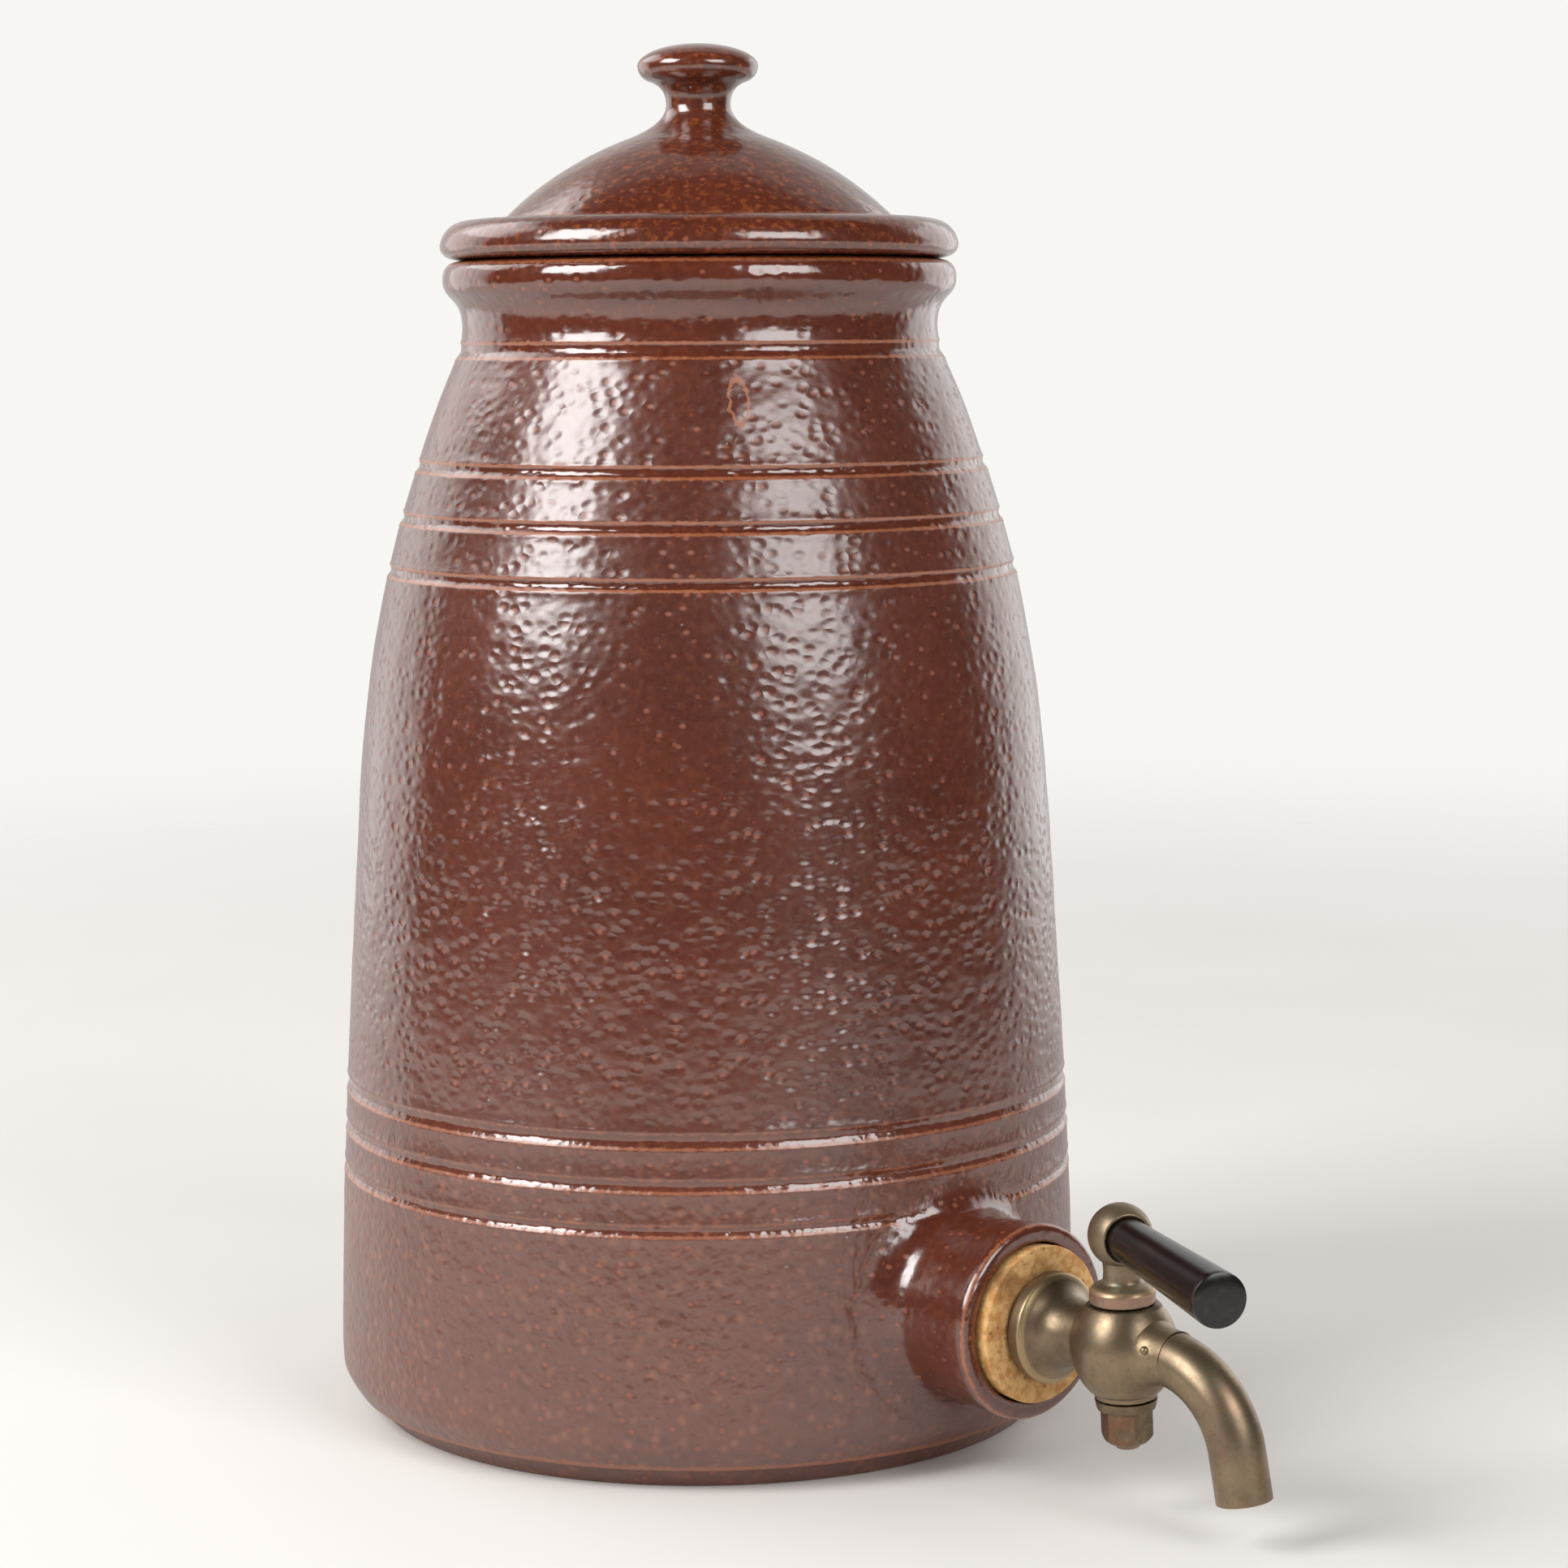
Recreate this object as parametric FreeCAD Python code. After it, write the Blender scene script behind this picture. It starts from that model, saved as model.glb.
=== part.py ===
"""Stoneware water pot with a lift-off lid and a brass plug tap set in a cork bung.

Millimetres. +Z is up, the origin is the centre of the foot, and the tap points along -Y.
"""
import FreeCAD, Part

import math
import os

from FreeCAD import Base

# ------------------------------------------------------------ pot, outside
FOOT_IN = 8.9           # the recessed foot is this much narrower than the belly
FOOT_UNDERCUT = 2.5     # the foot widens by this much up to the heel
FOOT_H = 5.0
HEEL_OVERHANG = 2.8     # the heel's edge stands out past the top of the foot
HEEL_SLOPE = 1.0
CHAMFER_W = 3.4         # turned slope from the heel's edge out to the wall
CHAMFER_H = 6.0
CHAMFER_SWELL = 0.4     # how far the slope stands off a straight line
WALL_START_LEAN = 0.08  # the wall still widens by this much per millimetre above the slope
BELLY_R = 83.4
BELLY_Z = 29.0
WAIST_IN = 4.4          # the wall is this much narrower than the belly at this height
WAIST_Z = 118.0
SHOULDER_R = 70.3
SHOULDER_Z = 189.5
UPPER_R = 63.0
UPPER_Z = 214.0
NECK_R = 52.8
NECK_Z = 243.0
NECK_ROOT_OUT = 2.4     # the wall is this much wider than the neck where the neck's hollow starts
NECK_ROOT_DOWN = 8.7
NECK_HOLD = 6.5         # pull of the upright neck, and of the upright rim, on the curve between them
RIM_HOLD = 4.4
RIM_OUT = 4.2           # fat rolled rim, past the neck
RIM_UP = 10.0           # its widest circle, above the neck
RIM_H = 14.4            # its flat top, which carries the lid, above the neck
RIM_BROW = 0.4          # the roll's upper corner is this far under the flat top
RIM_SEAT_W = 4.2

# ------------------------------------------------------------ pot, inside
WALL_T = 7.0
NECK_T = 6.0
FLOOR_T = 10.0
FLOOR_FILLET = 9.0
LIP_ROUND = 1.6

# ------------------------------------------------------------ pot, turned channels, as the heights of their two edges
CHANNEL_D = 0.5
NECK_CHANNELS = ((239.2, 236.0),)
UPPER_CHANNELS = ((213.6, 211.2), (202.2, 199.8), (190.6, 188.3))
LOWER_CHANNELS = ((76.7, 73.6), (67.1, 64.5), (57.5, 55.2))

# ------------------------------------------------------------ tap boss of the pot
TAP_Z = 36.0            # height of the tap's centre line
BOSS_PROJECTS = 21.6    # from the belly to the face of the boss
BOSS_R = 20.7
BOSS_WAIST = 0.6        # the boss is this much thinner halfway
BOSS_WAIST_OUT = 9.0    # the waist ends this far outside the belly
BOSS_ROOT = 6.2         # radius of the clay thumbed into the corner between boss and wall
BOSS_EDGE = 1.5
SOCKET_EDGE = 0.4

# ------------------------------------------------------------ cork
CORK_R = 16.6
CORK_PROUD = 2.5
CORK_L = 26.0
CORK_TAPER = 0.05       # change of radius per millimetre
CORK_EDGE = 0.8
CORK_SQUEEZE = 0.1      # the cork is pressed by this much in its hole and round the shank

# ------------------------------------------------------------ lid, heights from the rim's flat top
LID_OVERHANG = 0.5
LID_FLAT_IN = 4.5       # the flat underside stops this far inside the lid's edge
LID_BROW = 0.2          # the lower corner of the edge is this far over the flat underside
LID_EDGE_Z = 3.25       # widest circle
LID_EDGE_T = 8.8
LID_ROUND = 5.8
LID_SWELL = 1.4         # how far the upper round stands off a straight line
LID_LEDGE = 8.9
DOME_STEP = 1.0
DOME_H = 16.5           # from the step to the foot of the stem
DOME_RISE = 1.6         # how far the dome stands off a straight line
STEM_FOOT_R = 16.6
STEM_FOOT_SLOPE = 0.35
STEM_R = 7.25
STEM_H = 7.6
KNOB_R = 13.5
KNOB_UP = 8.3           # from the narrow stem to the knob's widest circle
KNOB_CAP_H = 5.0
KNOB_LIP_R = 10.7       # where the knob's underside turns up
KNOB_LIP_DOWN = 3.45
KNOB_THROAT = 1.15      # the stem's corner under the knob is this much lower still
KNOB_SWELL = 0.75
LID_RING_GAP = 1.2      # round the ring that drops in the mouth
LID_RING_T = 5.6
LID_RING_H = 8.0
LID_RING_ROUND = 1.4
LID_HOLLOW_H = 21.6
LID_HOLLOW_FOOT = 1.0

# ------------------------------------------------------------ tap body, turned about the tap's line
FLANGE_R = 11.6
FLANGE_T = 4.3
FLANGE_BACK_W = 0.9     # bevel behind the flange
FLANGE_BACK_L = 1.2
FLANGE_EDGE = 0.5
TRUMPET_L = 7.4
TRUMPET_MID_R = 8.1
TRUMPET_MID = 3.3
TAP_NECK_R = 6.7
SHANK_R = 6.6
SHANK_L = 31.5
SHANK_TAPER = 0.035
WATERWAY_R = 3.2
PLUG_OUT = 23.0         # from the back of the flange to the plug's axis
TAP_LEAN = 3.2          # degrees; the tap is pushed into its cork a little out of plumb

# ------------------------------------------------------------ tap body, turned about the plug's axis
BULB_R = 11.0
BULB_ARC = 13.0
BULB_UP = 9.2
BULB_DOWN = 9.2
LOWER_BOSS_R = 6.5
LOWER_BOSS_H = 1.4
LOWER_BOSS_DRAFT = 0.06

# ------------------------------------------------------------ plug, heights from the top of the tap body
PLUG_R = 4.9
PLUG_TAPER = 0.06
PLUG_FIT = 0.05         # oil film round the key
PLUG_END_GAP = 0.25     # daylight under the collar and over the washer, so that the taper seats first
KEY_SHORT = 0.5         # the key stops this far above the lower end of the tap body
PORT_R = 2.9
COLLAR_R = 6.75
COLLAR_H = 2.5
SHOULDER_W = 2.2
SHOULDER_H = 1.5
SHOULDER_SWELL = 0.35
PLUG_NECK_R = 3.75
PLUG_NECK_UP = 6.6
BALL_R = 6.65
BALL_UP = 14.1
BALL_BLEND = 5.4        # the neck runs into the ball this far below its centre
SQUARE_A = 5.2
STUD_R = 2.5
STUD_PROUD = 0.9
WASHER_T = 2.2
WASHER_EDGE = 0.8
NUT_AF = 9.5
NUT_H = 7.2
NUT_TURN = 0.0          # degrees, from +X to a corner
NUT_DOME_H = 1.9
NUT_DOME_R = 3.6
NUT_DOME_SWELL = 0.25
SCREW_FIT = 0.05        # round the pin, the square and the stud

# ------------------------------------------------------------ handle, lengths from the plug's axis
HANDLE_TURN = 24.8      # from the spout's line, clockwise seen from above
HANDLE_L = 51.5
GRIP_R = 4.45
GRIP_END_R = 5.65
GRIP_EDGE = 0.6
GRIP_DOME = 0.5
BALL_FLAT = 4.1
COUNTERBORE_D = 0.9
COUNTERBORE_GAP = 0.35
PIN_R = 2.0
PIN_IN_GRIP = 30.0
PIN_IN_BALL = 2.6

# ------------------------------------------------------------ spout
SPOUT_R = 5.75
SPOUT_WALL = 1.25
SPOUT_SOCKET = 4.0      # how far the tube enters the bulb
SPOUT_RUN = 0.2         # straight run outside the bulb
SPOUT_BEND_R = 19.0
SPOUT_BEND = 81.0       # degrees
SPOUT_TAIL = 9.8
BRAZE_W = 2.5           # the fillet of braze, over the bulb and along the tube
BRAZE_L = 3.4
BRAZE_HOLLOW_W = 0.25   # the corner that its hollow is drawn into, off the tube and behind the bulb's front
BRAZE_HOLLOW_L = 1.2
BRAZE_FEATHER = 0.05    # it thins out to this
BEAD_R = 0.9
BEAD_UP = 25.0          # degrees above the tap's line, on the -X side

# ------------------------------------------------------------ worked out
MOUTH_R = NECK_R - NECK_T
MOUTH_Z = NECK_Z + RIM_H
RIM_R = NECK_R + RIM_OUT
RIM_SEAT_R = MOUTH_R + RIM_SEAT_W
FOOT_R = BELLY_R - FOOT_IN
WAIST_R = BELLY_R - WAIST_IN
HEEL_R = FOOT_R + FOOT_UNDERCUT + HEEL_OVERHANG
BOSS_FACE = BELLY_R + BOSS_PROJECTS
CORK_FACE = BOSS_FACE + CORK_PROUD
PLUG_AXIS = CORK_FACE + PLUG_OUT
LID_EDGE_R = RIM_R + LID_OVERHANG
LID_RING_R = MOUTH_R - LID_RING_GAP
DOME_R = LID_EDGE_R - LID_ROUND - LID_LEDGE
DOME_Z = LID_EDGE_T + DOME_STEP
LOWER_END = -BULB_DOWN - LOWER_BOSS_H
WASHER_TOP = LOWER_END - PLUG_END_GAP
NUT_TOP = WASHER_TOP - WASHER_T
KEY_LOW = LOWER_END + KEY_SHORT
SPOUT_START = PLUG_AXIS + BULB_R - SPOUT_SOCKET
GRIP_START = BALL_FLAT - COUNTERBORE_D

ORIGIN = Base.Vector(0, 0, 0)
UP = Base.Vector(0, 0, 1)
EAST = Base.Vector(1, 0, 0)
TAP_BASE = Base.Vector(0, 0, TAP_Z)
PLUG_BASE = Base.Vector(0, -PLUG_AXIS, TAP_Z)
TAP_LINE = Base.Vector(0, -1, 0)
QUARTER = 0.5 * (math.sqrt(2) - 1)   # rise of a quarter round over the length of its chord
OVAL = 0.5523                        # length of the handles of a curve that follows a quarter of an oval
HALVINGS = 50
PAST = 1.0                           # cutters run this far past what they cut
NEAR = 0.5                           # lengths within this are taken as the same


# ------------------------------------------------------------ helpers
def rz(radius, height):
    """A point of a profile that is turned about +Z."""
    return Base.Vector(radius, 0, height)


def line(a, b):
    return Part.LineSegment(a, b).toShape()


def arc(a, middle, b):
    return Part.Arc(a, middle, b).toShape()


def bulge(a, b, rise):
    """Arc from a to b whose middle stands off the chord by rise, to the right of the way from a to b."""
    chord = b - a
    side = Base.Vector(chord.z, 0, -chord.x).normalize()
    return arc(a, (a + b) * 0.5 + side * rise, b)


def rounded(a, b):
    """Quarter round from a to b, to the right of the way."""
    return bulge(a, b, QUARTER * (b - a).Length)


def bezier(*poles):
    curve = Part.BezierCurve()
    curve.setPoles(list(poles))
    return curve.toShape()


def turned(edges):
    """Solid of revolution about +Z of the closed profile that these edges make."""
    face = Part.Face(Part.Wire(edges))
    return face.revolve(ORIGIN, UP, 360)


def turned_polygon(*points):
    ring = list(points) + [points[0]]
    return turned([line(a, b) for a, b in zip(ring, ring[1:])])


def rod(radius, low, high):
    """Cylinder about +Z between two heights."""
    return Part.makeCylinder(radius, high - low, rz(0, low), UP)


def along_tap(shape):
    """Lay a turned shape along the tap's line: its heights become distances from the pot's axis."""
    laid = shape.copy()
    laid.rotate(ORIGIN, EAST, 90)
    laid.translate(TAP_BASE)
    return laid


def on_plug(shape):
    """Stand a turned shape on the plug's axis: its heights are counted from the tap's line."""
    stood = shape.copy()
    stood.translate(PLUG_BASE)
    return stood


def along_handle(shape):
    """Lay a turned shape along the handle: its heights become distances from the plug's axis."""
    laid = shape.copy()
    laid.rotate(ORIGIN, EAST, 90)
    laid.rotate(ORIGIN, UP, -HANDLE_TURN)
    laid.translate(PLUG_BASE + UP * (BULB_UP + BALL_UP))
    return laid


def as_pushed_in(shape):
    """A finished piece of the tap, leaned about the tap's line."""
    leaned = shape.copy()
    leaned.rotate(TAP_BASE, TAP_LINE, TAP_LEAN)
    return leaned


# ------------------------------------------------------------ pot
def wall_curve(inset):
    """Wall of the pot from the chamfer to the narrowest circle of the neck, moved inwards."""
    points = [
        rz(HEEL_R + CHAMFER_W - inset, FOOT_H + CHAMFER_H),
        rz(BELLY_R - inset, BELLY_Z),
        rz(WAIST_R - inset, WAIST_Z),
        rz(SHOULDER_R - inset, SHOULDER_Z),
        rz(UPPER_R - inset, UPPER_Z),
        rz(NECK_R + NECK_ROOT_OUT - inset, NECK_Z - NECK_ROOT_DOWN),
        rz(NECK_R - inset, NECK_Z),
    ]
    curve = Part.BSplineCurve()
    curve.interpolate(Points=points, InitialTangent=rz(WALL_START_LEAN, 1), FinalTangent=UP)
    return curve


def parameter_at(curve, height):
    """Parameter of a rising curve at a height, by bisection."""
    low = curve.FirstParameter
    high = curve.LastParameter
    for _ in range(HALVINGS):
        middle = 0.5 * (low + high)
        if curve.value(middle).z < height:
            low = middle
        else:
            high = middle
    return low


def pot_outside():
    """The pot's outer form, with its mouth closed level with the rim's inner round."""
    curve = wall_curve(0.0)
    wall_low = curve.value(curve.FirstParameter)
    neck = curve.value(curve.LastParameter)
    foot_low = rz(FOOT_R, 0)
    foot_high = rz(FOOT_R + FOOT_UNDERCUT, FOOT_H - HEEL_SLOPE)
    heel = rz(HEEL_R, FOOT_H)
    roll = rz(RIM_R, NECK_Z + RIM_UP)
    seat_out = rz(RIM_SEAT_R, MOUTH_Z)
    seat_in = rz(MOUTH_R + LIP_ROUND, MOUTH_Z)
    lip_low = rz(MOUTH_R, MOUTH_Z - LIP_ROUND)
    closed = rz(0, MOUTH_Z - LIP_ROUND)
    return turned([
        line(ORIGIN, foot_low),
        line(foot_low, foot_high),
        line(foot_high, heel),
        bulge(heel, wall_low, CHAMFER_SWELL),
        curve.toShape(),
        bezier(neck, neck + UP * NECK_HOLD, roll - UP * RIM_HOLD, roll),
        bezier(roll, rz(RIM_R, MOUTH_Z - RIM_BROW), seat_out),
        line(seat_out, seat_in),
        rounded(seat_in, lip_low),
        line(lip_low, closed),
        line(closed, ORIGIN),
    ])


def pot_cavity():
    """The space inside the pot, run on past the mouth."""
    curve = wall_curve(WALL_T)
    start = parameter_at(curve, FLOOR_T + FLOOR_FILLET)
    wall_low = curve.value(start)
    neck_low = curve.value(curve.LastParameter)
    floor_mid = rz(0, FLOOR_T)
    floor_out = rz(wall_low.x - FLOOR_FILLET, FLOOR_T)
    mouth_low = rz(MOUTH_R, NECK_Z + RIM_UP)
    mouth_high = rz(MOUTH_R, MOUTH_Z + PAST)
    top_mid = rz(0, MOUTH_Z + PAST)
    return turned([
        line(floor_mid, floor_out),
        rounded(floor_out, wall_low),
        curve.toShape(start, curve.LastParameter),
        line(neck_low, mouth_low),
        line(mouth_low, mouth_high),
        line(mouth_high, top_mid),
        line(top_mid, floor_mid),
    ])


def channels(edges, keep_out):
    """Shallow hollows turned in the wall between pairs of heights, stopped where the boss covers them."""
    curve = wall_curve(0.0)
    outside = EAST * PAST
    rings = []
    for high, low in edges:
        upper = curve.value(parameter_at(curve, high))
        lower = curve.value(parameter_at(curve, low))
        ring = turned([
            bulge(upper, lower, CHANNEL_D),
            line(lower, lower + outside),
            line(lower + outside, upper + outside),
            line(upper + outside, upper),
        ])
        rings.append(ring.cut(keep_out))
    return rings


def boss_outside():
    """Tap boss: rounded face and a slight waist, run back through the wall."""
    waist_r = BOSS_R - BOSS_WAIST
    waist = rz(waist_r, BELLY_R + BOSS_WAIST_OUT)
    root = rz(waist_r, BELLY_R - WALL_T)
    edge_low = rz(BOSS_R, BOSS_FACE - BOSS_EDGE)
    edge_high = rz(BOSS_R - BOSS_EDGE, BOSS_FACE)
    return turned([
        line(rz(0, root.z), root),
        line(root, waist),
        bezier(waist, rz(waist_r, 0.5 * (waist.z + edge_low.z)), edge_low),
        rounded(edge_low, edge_high),
        line(edge_high, rz(0, BOSS_FACE)),
        line(rz(0, BOSS_FACE), rz(0, root.z)),
    ])


def meets_boss(edge):
    """Whether an edge is the corner between boss and wall: as wide as the boss, and bent with the wall."""
    box = edge.BoundBox
    return abs(box.XLength - 2 * (BOSS_R - BOSS_WAIST)) < NEAR < box.YLength


def pot_with_boss():
    """The pot's outer form with the boss on it and the corner between them filled by a thumb's round."""
    joined = pot_outside().fuse(along_tap(boss_outside()))
    corner = [edge for edge in joined.Edges if meets_boss(edge)]
    return joined.makeFillet(BOSS_ROOT, corner)


def cork_radius(distance):
    """Radius of the free cork at a distance from the pot's axis."""
    return CORK_R - (CORK_FACE - distance) * CORK_TAPER


def socket_hole():
    """Tapered hole through boss and wall, with its edge taken off."""
    start = BELLY_R - WALL_T - BOSS_ROOT
    lip = BOSS_FACE - SOCKET_EDGE
    mouth_r = cork_radius(lip) + SOCKET_EDGE
    return turned_polygon(
        rz(0, start),
        rz(cork_radius(start) - CORK_SQUEEZE, start),
        rz(cork_radius(lip) - CORK_SQUEEZE, lip),
        rz(mouth_r, BOSS_FACE),
        rz(mouth_r, BOSS_FACE + PAST),
        rz(0, BOSS_FACE + PAST),
    )


def pot_body():
    body = pot_with_boss().cut(pot_cavity())
    cover = along_tap(rod(BOSS_R + BOSS_ROOT, 0, BOSS_FACE))
    for ring in channels(NECK_CHANNELS + UPPER_CHANNELS + LOWER_CHANNELS, cover):
        body = body.cut(ring)
    return body.cut(along_tap(socket_hole())).removeSplitter()


# ------------------------------------------------------------ lid
def lid_flange():
    """Underside and edge of the lid, up to the foot of the dome."""
    flat_end = rz(LID_EDGE_R - LID_FLAT_IN, 0)
    widest = rz(LID_EDGE_R, LID_EDGE_Z)
    ledge = rz(LID_EDGE_R - LID_ROUND, LID_EDGE_T)
    return [
        line(rz(LID_RING_R, 0), flat_end),
        bezier(flat_end, rz(LID_EDGE_R, LID_BROW), widest),
        bulge(widest, ledge, LID_SWELL),
        line(ledge, rz(DOME_R, LID_EDGE_T)),
        line(rz(DOME_R, LID_EDGE_T), rz(DOME_R, DOME_Z)),
    ]


def lid_dome_and_knob():
    """The dome, the stem it is drawn up to and the knob."""
    stem_foot = rz(STEM_FOOT_R, DOME_Z + DOME_H)
    foot_corner = rz(STEM_R, stem_foot.z + STEM_FOOT_SLOPE * (STEM_FOOT_R - STEM_R))
    stem = rz(STEM_R, stem_foot.z + STEM_H)
    widest = rz(KNOB_R, stem.z + KNOB_UP)
    lip = rz(KNOB_LIP_R, widest.z - KNOB_LIP_DOWN)
    throat = rz(STEM_R, lip.z - KNOB_THROAT)
    top = rz(0, widest.z + KNOB_CAP_H)
    return [
        bulge(rz(DOME_R, DOME_Z), stem_foot, DOME_RISE),
        bezier(stem_foot, foot_corner, stem),
        bezier(stem, throat, lip),
        bulge(lip, widest, KNOB_SWELL),
        bezier(widest, widest + UP * KNOB_CAP_H * OVAL, top + EAST * KNOB_R * OVAL, top),
        line(top, rz(0, LID_HOLLOW_H)),
    ]


def lid_hollow_and_ring():
    """The hollow under the dome, level at its top, and the ring that drops in the mouth."""
    ring_in = LID_RING_R - LID_RING_T
    ring_low = LID_RING_ROUND - LID_RING_H
    rise = LID_HOLLOW_H - LID_HOLLOW_FOOT
    sweep_r = (ring_in ** 2 + rise ** 2) / (2 * rise)
    half = 0.5 * math.asin(ring_in / sweep_r)
    middle = rz(sweep_r * math.sin(half), LID_HOLLOW_H - sweep_r * (1 - math.cos(half)))
    return [
        arc(rz(0, LID_HOLLOW_H), middle, rz(ring_in, LID_HOLLOW_FOOT)),
        line(rz(ring_in, LID_HOLLOW_FOOT), rz(ring_in, ring_low)),
        bulge(rz(ring_in, ring_low), rz(LID_RING_R, ring_low), LID_RING_ROUND),
        line(rz(LID_RING_R, ring_low), rz(LID_RING_R, 0)),
    ]


def pot_lid():
    lid = turned(lid_flange() + lid_dome_and_knob() + lid_hollow_and_ring())
    lid.translate(rz(0, MOUTH_Z))
    return lid


# ------------------------------------------------------------ cork
def shank_radius(distance):
    return SHANK_R - (CORK_FACE - distance) * SHANK_TAPER


def cork_bung():
    end = CORK_FACE - CORK_L
    edge = CORK_FACE - CORK_EDGE
    hole = SHANK_TAPER * CORK_L
    return along_tap(turned_polygon(
        rz(shank_radius(end) - CORK_SQUEEZE, end),
        rz(cork_radius(end), end),
        rz(cork_radius(edge), edge),
        rz(CORK_R - CORK_EDGE, CORK_FACE),
        rz(shank_radius(end) - CORK_SQUEEZE + hole, CORK_FACE),
    ))


# ------------------------------------------------------------ tap body
def shank_and_trumpet():
    """Tapered shank, flange and trumpet, with heights as distances from the pot's axis."""
    end = CORK_FACE - SHANK_L
    front = CORK_FACE + FLANGE_T
    return turned([
        line(rz(0, end), rz(shank_radius(end), end)),
        line(rz(shank_radius(end), end), rz(SHANK_R, CORK_FACE)),
        line(rz(SHANK_R, CORK_FACE), rz(FLANGE_R - FLANGE_BACK_W, CORK_FACE)),
        line(rz(FLANGE_R - FLANGE_BACK_W, CORK_FACE), rz(FLANGE_R, CORK_FACE + FLANGE_BACK_L)),
        line(rz(FLANGE_R, CORK_FACE + FLANGE_BACK_L), rz(FLANGE_R, front - FLANGE_EDGE)),
        line(rz(FLANGE_R, front - FLANGE_EDGE), rz(FLANGE_R - FLANGE_EDGE, front)),
        arc(
            rz(FLANGE_R - FLANGE_EDGE, front),
            rz(TRUMPET_MID_R, front + TRUMPET_MID),
            rz(TAP_NECK_R, front + TRUMPET_L),
        ),
        line(rz(TAP_NECK_R, front + TRUMPET_L), rz(TAP_NECK_R, PLUG_AXIS)),
        line(rz(TAP_NECK_R, PLUG_AXIS), rz(0, PLUG_AXIS)),
        line(rz(0, PLUG_AXIS), rz(0, end)),
    ])


def bulb_radius(height):
    return BULB_R - BULB_ARC + math.sqrt(BULB_ARC ** 2 - height ** 2)


def bulb():
    """Barrel-shaped bulb and the lower boss, with heights from the tap's line."""
    low_r = bulb_radius(-BULB_DOWN)
    end_r = LOWER_BOSS_R - LOWER_BOSS_H * LOWER_BOSS_DRAFT
    top_r = bulb_radius(BULB_UP)
    return turned([
        line(rz(0, LOWER_END), rz(end_r, LOWER_END)),
        line(rz(end_r, LOWER_END), rz(LOWER_BOSS_R, -BULB_DOWN)),
        line(rz(LOWER_BOSS_R, -BULB_DOWN), rz(low_r, -BULB_DOWN)),
        arc(rz(low_r, -BULB_DOWN), rz(BULB_R, 0), rz(top_r, BULB_UP)),
        line(rz(top_r, BULB_UP), rz(0, BULB_UP)),
        line(rz(0, BULB_UP), rz(0, LOWER_END)),
    ])


def key_radius(height):
    """Radius of the plug's key at a height from the tap's line."""
    return PLUG_R - (BULB_UP - height) * PLUG_TAPER


def tap_body():
    body = along_tap(shank_and_trumpet()).fuse(on_plug(bulb()))
    seat_low = LOWER_END - PAST
    seat_high = BULB_UP + PAST
    seat = turned_polygon(
        rz(0, seat_low),
        rz(key_radius(seat_low) + PLUG_FIT, seat_low),
        rz(key_radius(seat_high) + PLUG_FIT, seat_high),
        rz(0, seat_high),
    )
    waterway = rod(WATERWAY_R, CORK_FACE - SHANK_L - PAST, SPOUT_START + PAST)
    spout_socket = rod(SPOUT_R, SPOUT_START, PLUG_AXIS + 2 * BULB_R)
    body = body.cut(on_plug(seat))
    body = body.cut(along_tap(waterway))
    return body.cut(along_tap(spout_socket)).removeSplitter()


# ------------------------------------------------------------ spout
def on_bend(angle):
    """Point of the spout's line, this many radians round its bend."""
    reach = PLUG_AXIS + BULB_R + SPOUT_RUN + SPOUT_BEND_R * math.sin(angle)
    drop = SPOUT_BEND_R * (1 - math.cos(angle))
    return Base.Vector(0, -reach, TAP_Z - drop)


def spout_sweep(radius, extra):
    """Round bar along the spout's line, run on past both ends by extra."""
    turn = math.radians(SPOUT_BEND)
    start = Base.Vector(0, extra - SPOUT_START, TAP_Z)
    tail = Base.Vector(0, -math.cos(turn), -math.sin(turn))
    end = on_bend(turn) + tail * (SPOUT_TAIL + extra)
    path = Part.Wire([
        line(start, on_bend(0)),
        arc(on_bend(0), on_bend(turn / 2), on_bend(turn)),
        line(on_bend(turn), end),
    ])
    circle = Part.Wire([Part.makeCircle(radius, start, TAP_LINE)])
    return path.makePipeShell([circle], True, False)


def tap_spout():
    return spout_sweep(SPOUT_R, 0.0).cut(spout_sweep(SPOUT_R - SPOUT_WALL, PAST))


def spout_braze():
    """Concave fillet of braze round the root of the tube, with a bead on its -X side."""
    front = PLUG_AXIS + BULB_R
    back = rz(SPOUT_R + BRAZE_W, SPOUT_START)
    feather = rz(SPOUT_R + BRAZE_FEATHER, front + BRAZE_L)
    ring = along_tap(turned([
        line(rz(SPOUT_R, back.z), back),
        bezier(back, rz(SPOUT_R + BRAZE_HOLLOW_W, front - BRAZE_HOLLOW_L), feather),
        line(feather, rz(SPOUT_R, feather.z)),
        line(rz(SPOUT_R, feather.z), rz(SPOUT_R, back.z)),
    ]))
    up = math.radians(BEAD_UP)
    bead_out = SPOUT_R + BEAD_R / 2
    place = Base.Vector(-bead_out * math.cos(up), -front, TAP_Z + bead_out * math.sin(up))
    bead = Part.makeSphere(BEAD_R, place)
    tube = along_tap(rod(SPOUT_R, SPOUT_START - PAST, feather.z + PAST))
    return ring.fuse(bead).cut(on_plug(bulb())).cut(tube)


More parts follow.
